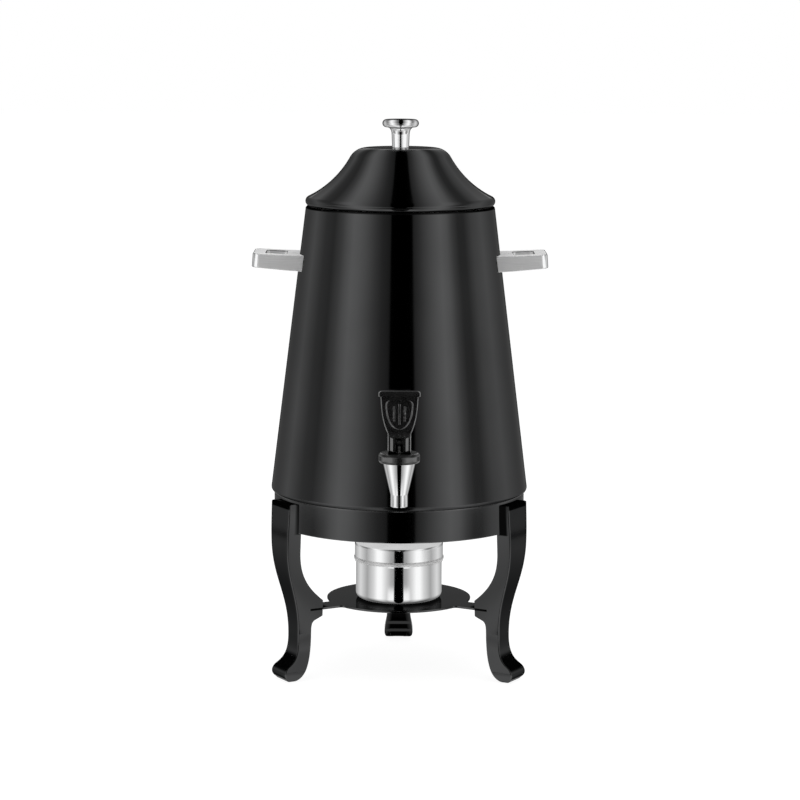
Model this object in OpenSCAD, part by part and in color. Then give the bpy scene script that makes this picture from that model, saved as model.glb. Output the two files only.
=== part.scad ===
// Hot-drink urn: a cone-shaped tank with a bell lid, two loop handles and a lever tap,
// on a stand of three cabriole legs that hold a plate with a fuel cup under the tank.
// Millimetres, +Z up. The origin is on the table, on the axis of the tank, and the tap points to -Y.

/* [Stand ring] */
// Height of the ring's lower edge above the table
stand_h = 151.6; // [135:0.2:190]
// Outer radius of the ring
ring_r = 127; // [115:1:145]
// Height of the ring
ring_h = 31.9; // [26:0.1:45]
// Sheet thickness of the ring
ring_wall = 1.5; // [1:0.1:2.5]
// Width of the flange that the tank stands on
ring_seat_w = 9; // [8:0.5:14]
// Width of the hem that stands on the legs
ring_hem_w = 4; // [3:0.5:8]

/* [Legs] */
// Thickness of the post that stands against the ring
post_t = 9.5; // [8.5:0.5:14]
// Width of the post
post_w = 39; // [30:1:52]
// How far the post's top stays below the ring's top
post_drop = 2; // [0:0.5:6]
// How far the knee bulges past the post
knee_bulge = 1.5; // [0:0.5:6]
// How far the ankle is drawn in from the knee
ankle_draw = 15.3; // [10:0.1:22]
// Thickness of the ankle from front to back
ankle_t = 15; // [12:0.5:20]
// Width of the ankle
ankle_w = 22; // [18:1:30]
// How far the toe stands out past the ring
toe_reach = 12.5; // [8:0.5:22]
// Height of the toe
toe_h = 15.3; // [11:0.1:20]
// Width of the foot
foot_w = 30; // [24:1:44]
// Length of the flat sole
sole_l = 6.5; // [5:0.5:12]
// Thickness of the leg's outer web
web_t = 5; // [3.5:0.5:8]
// Thickness of the leg's two side walls
cheek_t = 5.5; // [3:0.5:8]
// Thickness of the cross ribs in the foot
rib_t = 3; // [2:0.5:5]
// Distance between the cross ribs in the foot
rib_pitch = 9.3; // [8:0.1:14]
// How far the tab for the plate reaches in from the ankle
tab_reach = 12.5; // [9:0.5:20]
// Height of the tab
tab_h = 16; // [12:0.5:22]
// Depth of the slot in the tab
slot_depth = 14; // [9:0.5:18]

/* [Fuel plate] */
// Height of the plate's upper face above the table
plate_z = 72.2; // [62:0.2:84]
// Radius of the plate
plate_r = 73.4; // [60:0.2:82]
// Thickness of the plate
plate_t = 2; // [1.5:0.1:4]
// Width of the plate's three arms
arm_w = 24; // [16:1:30]
// Fillet where an arm leaves the plate
arm_fillet = 5; // [2:0.5:9]

/* [Fuel cup] */
// Radius of the cup
cup_r = 43.9; // [34:0.1:52]
// Height of the cup
cup_h = 55.6; // [44:0.1:66]
// Sheet thickness of the cup and its lid
cup_wall = 0.9; // [0.6:0.1:1.6]
// Rounding of the cup's lower edge
cup_edge_r = 6; // [2:0.5:10]
// Height of the lid's skirt
cup_lid_h = 18.8; // [12:0.1:26]
// Height of the bead round the lid's lower edge
bead_h = 6.7; // [4:0.1:9]
// How far the bead stands out from the skirt
bead_out = 0.8; // [0.4:0.1:2]

/* [Tank] */
// Height of the tank
tank_h = 289; // [240:1:340]
// How far the tank's foot overhangs the ring
tank_overhang = 3; // [1:0.5:6]
// Radius of the tank at its mouth
mouth_r = 95.2; // [85:0.2:110]
// Sheet thickness of the tank
tank_wall = 1.2; // [0.8:0.1:2]
// Radius of the rolled lower edge
roll_r = 4; // [3:0.5:7]
// Width of the flange under the rolled edge
foot_flange_w = 7; // [5:0.5:12]
// Width of the inward lip at the mouth
lip_w = 7; // [5.5:0.5:10]
// Bend radius of the lip
lip_bend_r = 2.5; // [2.1:0.1:4]
// Sheet thickness of the tank's floor
floor_t = 1.2; // [0.8:0.1:2]
// Height of the floor's upturned rim
floor_rim_h = 9; // [5:0.5:16]

/* [Lid] */
// Height of the lid's flat top above the tank's mouth
lid_h = 58.4; // [48:0.2:74]
// Sheet thickness of the lid
lid_t = 1; // [0.8:0.1:1.8]
// Radius of the flat top
lid_top_r = 34.4; // [28:0.2:42]
// Radius of the shoulder round the flat top
shoulder_r = 18.8; // [10:0.2:24]
// Radius of the hollow sweep between shoulder and rim
sweep_r = 97; // [75:1:150]
// Radius of the rounded rim
nose_r = 5; // [3:0.2:6.4]
// How far the rim overhangs the tank's mouth
lid_overhang = 0.2; // [0:0.1:1.5]
// Depth of the collar that centres the lid
collar_h = 12; // [8:0.5:20]
// Sheet thickness of the collar
collar_t = 1; // [0.8:0.1:2]
// Width of the collar's flange
collar_flange_w = 2; // [1:0.1:2.6]

/* [Knob] */
// Height of the knob
knob_h = 28.3; // [22:0.1:40]
// Radius of the knob's disc
knob_r = 18.3; // [15:0.1:24]
// Thickness of the disc at its rim
knob_rim_t = 8; // [5:0.5:11]
// Radius of the knob's stem
knob_stem_r = 9; // [7:0.1:11]
// Thread radius of the screw that holds the knob
knob_screw_r = 3; // [2:0.5:4]

/* [Handles] */
// Height of the handles above the tank's foot
handle_rise = 233; // [150:1:260]
// How far a handle stands out from the tank
handle_reach = 46; // [40:0.5:60]
// Width of a handle
handle_w = 62; // [54:1:80]
// Height of a handle at the tank
handle_root_h = 16; // [13:0.5:22]
// Height of a handle at its outer end
handle_end_h = 13.8; // [11:0.2:18]
// Width of the bars round the finger hole
handle_bar = 12.8; // [10:0.2:16]
// Rounding of the outer corners
handle_corner_r = 7; // [3:0.5:11]
// Upward tilt of the handles in degrees
handle_tilt = 4; // [0:0.5:10]
// Distance between the two screws of a handle
handle_screw_pitch = 26; // [18:1:32]

/* [Tap] */
// Height of the tap's shank above the tank's foot
shank_rise = 42.5; // [38:0.5:70]
// Distance from the tank's wall to the axis of the spout
tap_reach = 36; // [33:0.5:50]
// Radius of the threaded shank
shank_r = 8; // [7:0.5:10]
// Radius of the shank's bore
shank_bore_r = 5; // [3:0.5:6]
// Radius of the spout's cone at the bonnet
cone_r = 16; // [15:0.2:20]
// Height of the spout's cone
cone_h = 31; // [28:0.5:36]
// Radius of the spout's tip
tip_r = 8.5; // [7.4:0.1:10]
// Length of the spout's tip
tip_h = 12; // [6:0.5:20]
// Wall thickness of the spout
spout_wall = 2; // [1.5:0.1:2.6]
// Radius of the outlet
outlet_r = 5.5; // [4:0.1:6]
// Radius of the bonnet's collar
bonnet_r = 20; // [18.4:0.2:26]
// Height of the bonnet's collar
bonnet_h = 9.5; // [9:0.5:16]
// Rounding of the bonnet's edges
bonnet_edge_r = 4; // [2:0.5:4.5]

/* [Lever] */
// Height of the lever's pin above the bonnet
pin_rise = 10.5; // [8:0.1:12]
// Radius of the lever's pin
pin_r = 1.5; // [1:0.1:2]
// Height of the lever above its pin
lever_h = 49.5; // [44:0.5:64]
// Width of the lever's neck
neck_w = 22.4; // [20:0.2:28]
// Width of the lever's paddle below the lip
paddle_w = 36.4; // [30:0.2:44]
// Thickness of the paddle
paddle_t = 6; // [4.5:0.5:8]
// Height of the lip along the paddle's top
lip_h = 5; // [4:0.5:9]
// How far the lip stands out at the sides and the front
lip_out = 2; // [1:0.2:4]
// Depth of the thumb recess
thumb_depth = 1; // [0.6:0.1:1.6]
// Rise of the valve at full pull
valve_lift = 3; // [2:0.1:3.6]
// Pull of the lever in degrees
lever_pull = 45; // [30:1:50]
// Radius of the valve's stem
stem_r = 2.5; // [2:0.1:2.8]
// Radius of the valve's seat cup
seat_cup_r = 7.2; // [6.4:0.1:7.4]
// Height of the seat cup
seat_cup_h = 10; // [7:0.5:12]
// Wire radius of the return spring
wire_r = 0.55; // [0.3:0.05:0.8]
// Number of turns in the return spring
spring_turns = 7; // [4:1:9]

/* [Hidden] */
$fn = 96;

// Finishes as the object shows them
black_metal = "#1c1c1f";
bright_metal = "#c9cacc";
plain_steel = "#8f9194";
black_plastic = "#232325";
silicone = "#b9b6ae";

// Clearances: a close fit between fixed pieces, a running fit, and a slip fit by hand
fit_gap = 0.15;
run_gap = 0.1;
slip_gap = 0.3;
eps = 0.01;
past = 5;

// Levels
foot_z = stand_h + ring_h;
mouth_z = foot_z + tank_h;
lid_top_z = mouth_z + lid_h;
handle_z = foot_z + handle_rise;
shank_z = foot_z + shank_rise;
post_top_z = foot_z - post_drop;

// Azimuths of the legs: rear, left and right
leg_turn = [90, 210, 330];

// Points of a round arc from angle a to angle b
function arc(c, r, a, b, n = 8) = [for (i = [0:n]) let (t = a + (b - a) * i / n) c + r * [cos(t), sin(t)]];
// Points of a cubic curve with two handles
function curve(p, q, s, t, n = 10) =
  [for (i = [0:n]) let (u = i / n, v = 1 - u) v * v * v * p + 3 * v * v * u * q + 3 * v * u * u * s + u * u * u * t];
function flip(pts) = [for (i = [len(pts) - 1:-1:0]) pts[i]];
function mirrored(pts) = concat(pts, [for (p = flip(pts)) [-p[0], p[1]]]);

// Tank wall: a straight cone that touches the rolled foot and the bend of the lip
tank_r = ring_r + tank_overhang;
roll_c = [tank_r - roll_r, foot_z + roll_r];
lip_c = [mouth_r - lip_bend_r, mouth_z - lip_bend_r];
wall_run = lip_c - roll_c;
tank_slope = atan2(-wall_run[0], wall_run[1]) + asin((roll_r - lip_bend_r) / norm(wall_run));
flange_r = tank_r - roll_r - foot_flange_w;
mouth_in_r = mouth_r - lip_w;
// Radius of the tank's outer face at height z
function wall_r(z) =
  (roll_c[0] * cos(tank_slope) + roll_c[1] * sin(tank_slope) + roll_r - z * sin(tank_slope)) / cos(tank_slope);

// Shapes turned about the Z axis
module turned(pts) { rotate_extrude() polygon(pts); }

// An outline of radius and height, extruded sideways to a width
module side_slab(pts, w) { rotate([90, 0, 0]) linear_extrude(w, center = true) polygon(pts); }

// An outline of width and height, extruded along the radius from near to far
module front_slab(pts, near, far) {
  translate([near, 0, 0]) rotate([90, 0, 90]) linear_extrude(far - near) polygon(pts);
}

// The tank's solid cone, grown or shrunk square to the wall
module tank_cone(grow) {
  out = grow / cos(tank_slope);
  translate([0, 0, foot_z])
    cylinder(h = tank_h, r1 = wall_r(foot_z) + out, r2 = wall_r(mouth_z) + out, $fn = 360);
}

// A rod along +X with its end at the origin
module rod(r, l) { rotate([0, 90, 0]) cylinder(h = l, r = r); }

// A round-headed screw along +X: the seat of its head is at the origin
module screw(r, l, head_r, head_h) {
  rod(r, l);
  difference() {
    translate([-head_h, 0, 0]) rotate([0, 90, 0]) turned_head(head_r, head_h);
    translate([-head_h - eps, 0, 0]) rotate([0, 90, 0]) cylinder(h = head_h * 0.6, r = head_r * 0.5, $fn = 6);
  }
}
module turned_head(r, h) {
  bevel = h * 0.4;
  turned([[0, 0], [r - bevel, 0], [r, bevel], [r, h], [0, h]]);
}

// Places children at a leg's azimuth, with +X outward
module at_leg(i) { rotate([0, 0, leg_turn[i]]) children(); }

// Stand ring: a rolled band with a seat flange above and a hem below
module stand_ring() {
  in_r = ring_r - ring_wall;
  profile = [
    [ring_r, stand_h], [ring_r, foot_z], [ring_r - ring_seat_w, foot_z],
    [ring_r - ring_seat_w, foot_z - ring_wall], [in_r, foot_z - ring_wall],
    [in_r, stand_h + ring_wall], [ring_r - ring_hem_w, stand_h + ring_wall], [ring_r - ring_hem_w, stand_h]
  ];
  color(black_metal) difference() {
    turned(profile);
    for (i = [0:2]) at_leg(i) leg_screw_axes() rod(leg_screw_r + run_gap, ring_r + past);
  }
}

// Leg screws: two above each other in every post
leg_screw_r = 2.4;
leg_screw_pitch = 13;
leg_screw_bite = 6.5;
leg_screw_head_r = 4.2;
leg_screw_head_h = 2.8;
leg_screw_seat = sqrt(pow(ring_r - ring_wall, 2) - pow(leg_screw_head_r, 2));

module leg_screw_axes() {
  for (s = [-0.5, 0.5]) translate([0, 0, stand_h + ring_h / 2 + s * leg_screw_pitch]) children();
}

module leg_screws() {
  color(plain_steel) for (i = [0:2]) at_leg(i) leg_screw_axes() translate([leg_screw_seat, 0, 0])
    screw(leg_screw_r, ring_r + leg_screw_bite - leg_screw_seat, leg_screw_head_r, leg_screw_head_h);
}

// Leg: radii from the axis of the tank, heights from the table
post_r = ring_r + post_t;
knee_r = post_r + knee_bulge;
ankle_r = knee_r - ankle_draw;
shin_r = ankle_r - ankle_t;
toe_r = ring_r + toe_reach;
tab_r = shin_r - tab_reach;
ledge_r = ring_r - ring_hem_w;
knee_z = stand_h - 12;
tab_low_z = plate_z - tab_h / 2;
tab_high_z = plate_z + tab_h / 2;
ankle_z = tab_low_z - 15;
sole_r = toe_r - 5.5;
s_bend = 0.41 * (knee_z - ankle_z);
toe_top = [toe_r - 4.5, toe_h];

// Outer line of the leg from the post's top to the sole
leg_outer = concat(
  curve([post_r, post_top_z], [post_r + knee_bulge * 0.5, stand_h + 10], [knee_r, knee_z + 14], [knee_r, knee_z], 5),
  curve([knee_r, knee_z], [knee_r, knee_z - s_bend], [ankle_r, ankle_z + s_bend], [ankle_r, ankle_z], 12),
  curve([ankle_r, ankle_z - 6], [ankle_r, toe_h + 9], toe_top + [-7, 4.6], toe_top, 8),
  curve(toe_top, toe_top + [3.7, -2.4], [toe_r + 2.4, toe_h * 0.43], [toe_r - 3.5, toe_h * 0.14], 7)
);
// Inner line of the leg from the sole to the ledge under the ring
leg_inner = concat(
  curve([sole_r - sole_l, 0], [shin_r + 7.5, 4], [shin_r, 24], [shin_r, ankle_z], 8),
  curve([shin_r, ankle_z], [shin_r, tab_low_z - 5], [shin_r - 2, tab_low_z - 4.5], [shin_r - 6.5, tab_low_z - 2.7], 5),
  [[tab_r, tab_low_z]],
  curve([tab_r, tab_high_z], [shin_r + 6.3, tab_high_z + 15], [ledge_r, tab_high_z + 29],
    [ledge_r, stand_h - 18], 10),
  [[ledge_r, post_top_z]]
);
// Half of the leg seen from outside, from the post's top to the sole
leg_half = concat(
  curve([post_w / 2, post_top_z], [post_w / 2 - 0.3, post_top_z - 41], [ankle_w / 2 + 1.5, ankle_z + 37],
    [ankle_w / 2, ankle_z - 2], 10),
  curve([ankle_w / 2, ankle_z - 2], [ankle_w / 2, ankle_z - 18], [foot_w / 2 - 1, toe_h + 3],
    [foot_w / 2, toe_h * 0.65], 6),
  curve([foot_w / 2, toe_h * 0.65], [foot_w / 2 + 0.3, toe_h * 0.25], [foot_w / 2 - 1, toe_h * 0.06],
    [foot_w / 2 - 3, 0], 4)
);

// The open channel behind the web
module leg_channel() {
  back_r = tab_r - past;
  web_line = [for (p = leg_outer) p - [web_t, 0]];
  half = [for (p = leg_half) p - [cheek_t, 0]];
  intersection() {
    side_slab(concat(web_line, [[sole_r - web_t, -past], [back_r, -past], [back_r, post_top_z]]), post_w);
    front_slab(concat([[half[0][0], post_top_z + past]], mirrored(half)), back_r, toe_r);
  }
}

// Heights between which the channel is open, between the cross ribs and the solid tab
rib_zs = [rib_pitch, 2 * rib_pitch];
channel_bays = [
  [-past, rib_zs[0] - rib_t / 2],
  [rib_zs[0] + rib_t / 2, rib_zs[1] - rib_t / 2],
  [rib_zs[1] + rib_t / 2, tab_low_z - 6],
  [tab_high_z + 8, stand_h - 12]
];

// One cast leg, standing on +X
module leg() {
  slab_w = max(post_w, foot_w) + past;
  color(black_metal) difference() {
    intersection() {
      side_slab(concat(leg_outer, [[sole_r, 0]], leg_inner), slab_w);
      front_slab(mirrored(leg_half), tab_r - past, toe_r + past);
    }
    for (bay = channel_bays) intersection() {
      leg_channel();
      translate([0, -slab_w / 2, bay[0]]) cube([toe_r, slab_w, bay[1] - bay[0]]);
    }
    translate([0, 0, stand_h]) cylinder(h = ring_h + past, r = ring_r + fit_gap);
    leg_screw_axes() rod(leg_screw_r + run_gap, ring_r + leg_screw_bite + run_gap);
    translate([0, -slab_w / 2, plate_z - plate_t]) cube([tab_r + slot_depth, slab_w, plate_t + slip_gap]);
  }
}
module leg_rear() { at_leg(0) leg(); }
module leg_left() { at_leg(1) leg(); }
module leg_right() { at_leg(2) leg(); }

// Fuel plate: a disc with three arms that sit in the slots of the legs
module plate_arm() {
  arm_end = tab_r + slot_depth - slip_gap;
  half_w = arm_w / 2;
  // The fillet's circle touches the disc and the arm's edge, and its first point dips into the disc
  fillet_x = half_w + arm_fillet;
  fillet_y = sqrt(pow(plate_r + arm_fillet, 2) - fillet_x * fillet_x);
  fillet = arc([fillet_x, fillet_y], arm_fillet, 180 + atan2(fillet_y, fillet_x), 180, 6);
  dip = fillet[0] * (1 - arm_fillet / plate_r / 2);
  inside = [half_w, plate_r / 2];
  polygon(mirrored(concat([inside, dip], [for (i = [1:6]) fillet[i]], [[half_w, arm_end]])));
}

module fuel_plate() {
  color(black_metal) translate([0, 0, plate_z - plate_t]) linear_extrude(plate_t) {
    circle(plate_r);
    for (i = [0:2]) rotate(leg_turn[i] - 90) plate_arm();
  }
}

// Fuel cup: a plain can that stands on the plate, with a slip lid that stands on its rim
cup_top_z = plate_z + cup_h;
module fuel_cup() {
  edge_c = [cup_r - cup_edge_r, plate_z + cup_edge_r];
  in_r = cup_r - cup_wall;
  color(bright_metal) turned(concat(
    [[0, plate_z]],
    arc(edge_c, cup_edge_r, -90, 0, 6),
    [[cup_r, cup_top_z], [in_r, cup_top_z]],
    arc(edge_c, cup_edge_r - cup_wall, 0, -90, 6),
    [[0, plate_z + cup_wall]]
  ));
}

module fuel_cup_lid() {
  in_r = cup_r + slip_gap;
  out_r = in_r + cup_wall;
  top_z = cup_top_z + cup_wall;
  low_z = top_z - cup_lid_h;
  edge_r = 1.6;
  bead = [out_r + bead_out - bead_h / 2, low_z + bead_h / 2];
  swell = acos((bead_h / 2 - bead_out) / (bead_h / 2));
  color(bright_metal) turned(concat(
    [[0, cup_top_z], [in_r, cup_top_z], [in_r, low_z]],
    arc(bead, bead_h / 2, -swell, swell, 6),
    arc([out_r - edge_r, top_z - edge_r], edge_r, 0, 90, 4),
    [[0, top_z]]
  ));
}

// Tank shell: a cone with a rolled foot and an inward lip at the mouth
module tank_shell() {
  profile = concat(
    [[flange_r, foot_z]],
    arc(roll_c, roll_r, -90, tank_slope, 10),
    arc(lip_c, lip_bend_r, tank_slope, 90, 6),
    [[mouth_in_r, mouth_z], [mouth_in_r, mouth_z - tank_wall]],
    arc(lip_c, lip_bend_r - tank_wall, 90, tank_slope, 6),
    arc(roll_c, roll_r - tank_wall, tank_slope, -90, 10),
    [[flange_r, foot_z + tank_wall]]
  );
  color(black_metal) difference() {
    turned(profile);
    handle_screw_axes() translate([-past, 0, 0]) rod(handle_screw_r + run_gap, 2 * past);
    on_shank() translate([tap_reach / 2, 0, 0]) rod(shank_r + run_gap, tap_reach);
  }
}

// Tank floor: a pan that nests in the rolled foot, welded along its rim
module tank_floor() {
  out_r = roll_r - tank_wall - fit_gap;
  in_r = out_r - floor_t;
  up = floor_rim_h * [-sin(tank_slope), cos(tank_slope)];
  outer = arc(roll_c, out_r, -90, tank_slope, 8);
  inner = arc(roll_c, in_r, tank_slope, -90, 8);
  color(plain_steel) turned(concat(
    [[0, roll_c[1] - out_r]], outer, [outer[8] + up, inner[0] + up], inner, [[0, roll_c[1] - in_r]]
  ));
}

// Handles: a flat loop that tilts up, saddled on the wall and screwed on from inside
handle_screw_r = 2.4;
handle_screw_bite = 8.5;
handle_screw_head_r = 4.2;
handle_screw_head_h = 2.6;
washer_r = 5.5;
washer_t = 1.5;
// Room for the wall's curve behind a flat washer
washer_sag = wall_r(handle_z) - sqrt(pow(wall_r(handle_z), 2) - washer_r * washer_r);
washer_seat = -tank_wall - washer_sag;

// Places children square to the wall where a handle's screws pass, on both sides
module handle_screw_axes() {
  swing = asin(handle_screw_pitch / 2 / wall_r(handle_z));
  for (side = [0, 180], s = [-1, 1]) rotate([0, 0, side + s * swing])
    translate([wall_r(handle_z), 0, handle_z]) rotate([0, -tank_slope, 0]) children();
}

module rounded_end(l, w, r) {
  translate([-past, -w / 2]) square([l + past - r, w]);
  translate([0, r - w / 2]) square([l, w - 2 * r]);
  for (s = [-1, 1]) translate([l - r, s * (w / 2 - r)]) circle(r);
}

module handle_loop() {
  root = handle_root_h / 2;
  tip = handle_end_h / 2;
  taper = (root - tip) / handle_reach;
  hole_w = handle_w - 2 * handle_bar;
  hole_r = 3;
  intersection() {
    linear_extrude(2 * handle_root_h, center = true) difference() {
      translate([-past, 0]) rounded_end(handle_reach + past, handle_w, handle_corner_r);
      for (s = [-1, 1]) {
        translate([handle_bar, -hole_w / 2 + hole_r]) square([handle_reach - 2 * handle_bar, hole_w - 2 * hole_r]);
        translate([handle_bar + hole_r, -hole_w / 2]) square([handle_reach - 2 * handle_bar - 2 * hole_r, hole_w]);
        for (x = [handle_bar + hole_r, handle_reach - handle_bar - hole_r])
          translate([x, s * (hole_w / 2 - hole_r)]) circle(hole_r);
      }
    }
    side_slab([
      [-2 * past, -root - 2 * past * taper], [handle_reach, -tip],
      [handle_reach, tip], [-2 * past, root + 2 * past * taper]
    ], handle_w + past);
  }
}

module handle() {
  color(bright_metal) difference() {
    translate([wall_r(handle_z), 0, handle_z]) rotate([0, -handle_tilt, 0]) handle_loop();
    tank_cone(fit_gap);
    handle_screw_axes() rod(handle_screw_r + run_gap, handle_screw_bite + run_gap);
  }
}
module handle_right() { handle(); }
module handle_left() { rotate([0, 0, 180]) handle(); }

module handle_screws() {
  color(plain_steel) handle_screw_axes() translate([washer_seat - washer_t, 0, 0])
    screw(handle_screw_r, handle_screw_bite - washer_seat + washer_t, handle_screw_head_r, handle_screw_head_h);
}

module handle_washers() {
  color(silicone) handle_screw_axes() translate([washer_seat - washer_t, 0, 0]) difference() {
    rod(washer_r, washer_t);
    translate([-eps, 0, 0]) rod(handle_screw_r + run_gap, washer_t + 2 * eps);
  }
}

// Lid: a bell of three arcs that run into each other, hemmed under its rim
lid_r = mouth_r + lid_overhang;
collar_r = mouth_in_r - 2 * slip_gap;
shoulder_c = [lid_top_r, lid_top_z - shoulder_r];
nose_c = [lid_r - nose_r, mouth_z + nose_r];
// Centre of the sweep circle, which touches the shoulder circle and the rim circle from outside
lid_span = nose_c - shoulder_c;
span_l = norm(lid_span);
reach_s = sweep_r + shoulder_r;
reach_n = sweep_r + nose_r;
along = (reach_s * reach_s - reach_n * reach_n + span_l * span_l) / (2 * span_l);
aside = sqrt(reach_s * reach_s - along * along);
sweep_c = shoulder_c + along * lid_span / span_l + aside * [-lid_span[1], lid_span[0]] / span_l;
shoulder_a = atan2(sweep_c[1] - shoulder_c[1], sweep_c[0] - shoulder_c[0]);
nose_a = atan2(sweep_c[1] - nose_c[1], sweep_c[0] - nose_c[0]);
// Points of the bell at a depth below its outer face, from the flat top to the hem
function bell(d) = concat(
  arc(shoulder_c, shoulder_r - d, 90, shoulder_a, 10),
  arc(sweep_c, sweep_r + d, 180 + shoulder_a, 180 + nose_a, 14),
  arc(nose_c, nose_r - d, nose_a, -90, 10)
);

module lid_shell() {
  hem_r = collar_r + fit_gap;
  color(black_metal) turned(concat(
    [[knob_screw_r + run_gap, lid_top_z]], bell(0), [[hem_r, mouth_z], [hem_r, mouth_z + lid_t]],
    flip(bell(lid_t)), [[knob_screw_r + run_gap, lid_top_z - lid_t]]
  ));
}

// Collar: an angle ring that hangs through the hem and centres the lid in the mouth
module lid_collar() {
  seat_z = mouth_z + lid_t;
  color(plain_steel) turned([
    [collar_r - collar_t, mouth_z - collar_h], [collar_r, mouth_z - collar_h], [collar_r, seat_z],
    [collar_r + collar_flange_w, seat_z], [collar_r + collar_flange_w, seat_z + collar_t],
    [collar_r - collar_t, seat_z + collar_t]
  ]);
}

// Knob: a turned disc on a waisted stem
knob_bite = 12;
knob_washer_t = 1.5;
module lid_knob() {
  rim_c = [knob_r - knob_rim_t / 2, lid_top_z + knob_h - knob_rim_t / 2];
  dish_z = lid_top_z + knob_h - knob_rim_t;
  color(bright_metal) difference() {
    turned(concat(
      [[0, lid_top_z], [knob_stem_r - 0.5, lid_top_z]],
      curve([knob_stem_r, dish_z - 7], [knob_stem_r + 0.2, dish_z - 3], [knob_stem_r + 1.5, dish_z],
        [rim_c[0], dish_z], 6),
      arc(rim_c, knob_rim_t / 2, -90, 90, 10),
      [[0, lid_top_z + knob_h]]
    ));
    translate([0, 0, lid_top_z - eps]) cylinder(h = knob_bite + run_gap, r = knob_screw_r + run_gap);
  }
}

knob_washer_z = lid_top_z - lid_t - knob_washer_t;
module knob_screw() {
  color(plain_steel) translate([0, 0, knob_washer_z]) rotate([0, -90, 0])
    screw(knob_screw_r, knob_bite + lid_top_z - knob_washer_z, 2 * knob_screw_r, 1.2 * knob_screw_r);
}

module knob_washer() {
  color(plain_steel) translate([0, 0, knob_washer_z]) difference() {
    cylinder(h = knob_washer_t, r = 3 * knob_screw_r);
    translate([0, 0, -eps]) cylinder(h = knob_washer_t + 2 * eps, r = knob_screw_r + run_gap);
  }
}

// Tap: the spout's axis, and the levels of its pieces
tap_y = -wall_r(shank_z) - tap_reach;
cone_top_z = shank_z + 12;
cone_low_z = cone_top_z - cone_h;
tip_z = cone_low_z - tip_h;
bonnet_z = cone_top_z + bonnet_h;
spigot_z = bonnet_z - 3;
seat_z = cone_low_z + 6;
spigot_r = cone_r - 2;
chamber_r = spigot_r - spout_wall;
seat_wall_r = tip_r + (cone_r - tip_r) * (seat_z - cone_low_z) / cone_h - spout_wall;
flange_t = 3;
flange_y = -wall_r(shank_z) - 3;
shank_end_y = -wall_r(shank_z) + tank_wall + 15;
nut_t = 6;
nut_y = -wall_r(shank_z) + tank_wall + 4.5;
gasket_r = shank_r + 5;

// Places children on the spout's axis
module on_spout() { translate([0, tap_y, 0]) children(); }
// Places children on the shank's axis, with +X running into the tank
module on_shank() { translate([0, tap_y, shank_z]) rotate([0, 0, 90]) children(); }
// A rod on the shank's axis between two stations along Y
module shank_rod(r, y0, y1) { on_shank() translate([y0 - tap_y, 0, 0]) rod(r, y1 - y0); }

module tap_body() {
  outside = [
    [0, tip_z], [tip_r - 0.8, tip_z], [tip_r, tip_z + 0.8], [tip_r, cone_low_z], [cone_r, cone_top_z],
    [spigot_r, cone_top_z], [spigot_r, spigot_z], [0, spigot_z]
  ];
  inside = [
    [0, seat_z], [seat_wall_r, seat_z], [chamber_r, cone_top_z - 6], [chamber_r, spigot_z + eps], [0, spigot_z + eps]
  ];
  color(bright_metal) difference() {
    union() {
      on_spout() turned(outside);
      shank_rod(shank_r, tap_y, shank_end_y);
      shank_rod(gasket_r + 1, flange_y - flange_t, flange_y);
    }
    on_spout() turned(inside);
    on_spout() translate([0, 0, tip_z - eps]) cylinder(h = seat_z - tip_z + 2 * eps, r = outlet_r);
    shank_rod(shank_bore_r, tap_y, shank_end_y + eps);
  }
}

// Gaskets: rings whose one face follows the wall
module shank_gasket_outer() {
  color(silicone) difference() {
    shank_rod(gasket_r, flange_y, flange_y + 2 * past);
    shank_rod(shank_r + run_gap, flange_y - eps, flange_y + 3 * past);
    tank_cone(run_gap);
  }
}

module shank_gasket_inner() {
  color(silicone) intersection() {
    difference() {
      shank_rod(gasket_r, nut_y - 2 * past, nut_y);
      shank_rod(shank_r + run_gap, nut_y - 3 * past, nut_y + eps);
    }
    tank_cone(-tank_wall - run_gap);
  }
}

module shank_nut() {
  color(bright_metal) on_shank() translate([nut_y - tap_y, 0, 0]) rotate([0, 90, 0]) difference() {
    cylinder(h = nut_t, r = shank_r + 6, $fn = 6);
    translate([0, 0, -eps]) cylinder(h = nut_t + 2 * eps, r = shank_r + run_gap);
  }
}

// Bonnet: a round collar screwed over the spigot, with a guide for the stem
module tap_bonnet() {
  out_low = [bonnet_r - bonnet_edge_r, cone_top_z + bonnet_edge_r];
  out_high = [bonnet_r - bonnet_edge_r, bonnet_z - bonnet_edge_r];
  color(black_plastic) on_spout() turned(concat(
    [[spigot_r + run_gap, cone_top_z]],
    arc(out_low, bonnet_edge_r, -90, 0, 8),
    arc(out_high, bonnet_edge_r, 0, 90, 8),
    [[stem_r + run_gap, bonnet_z], [stem_r + run_gap, spigot_z], [spigot_r + run_gap, spigot_z]]
  ));
}

// Valve: a stem with a round eye on top and a soft cup on its lower end
pin_z = bonnet_z + pin_rise;
eye_r = pin_r + 3;
eye_w = 2 * stem_r + 1;
cup_low_z = seat_z + run_gap / 2;
cup_high_z = cup_low_z + seat_cup_h;
stem_bite = seat_cup_h * 0.7;

module valve_stem() {
  color(plain_steel) on_spout() difference() {
    union() {
      translate([0, 0, cup_high_z - stem_bite]) cylinder(h = pin_z - cup_high_z + stem_bite, r = stem_r);
      translate([-eye_w / 2, 0, pin_z]) rod(eye_r, eye_w);
    }
    translate([-eye_w, 0, pin_z]) rod(pin_r + run_gap / 2, 2 * eye_w);
  }
}

module seat_cup() {
  lead = 1.5;
  color(silicone) on_spout() difference() {
    turned([
      [0, cup_low_z], [seat_cup_r - lead, cup_low_z], [seat_cup_r, cup_low_z + lead],
      [seat_cup_r, cup_high_z], [0, cup_high_z]
    ]);
    translate([0, 0, cup_high_z - stem_bite]) cylinder(h = stem_bite + eps, r = stem_r + run_gap / 2);
  }
}

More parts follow.
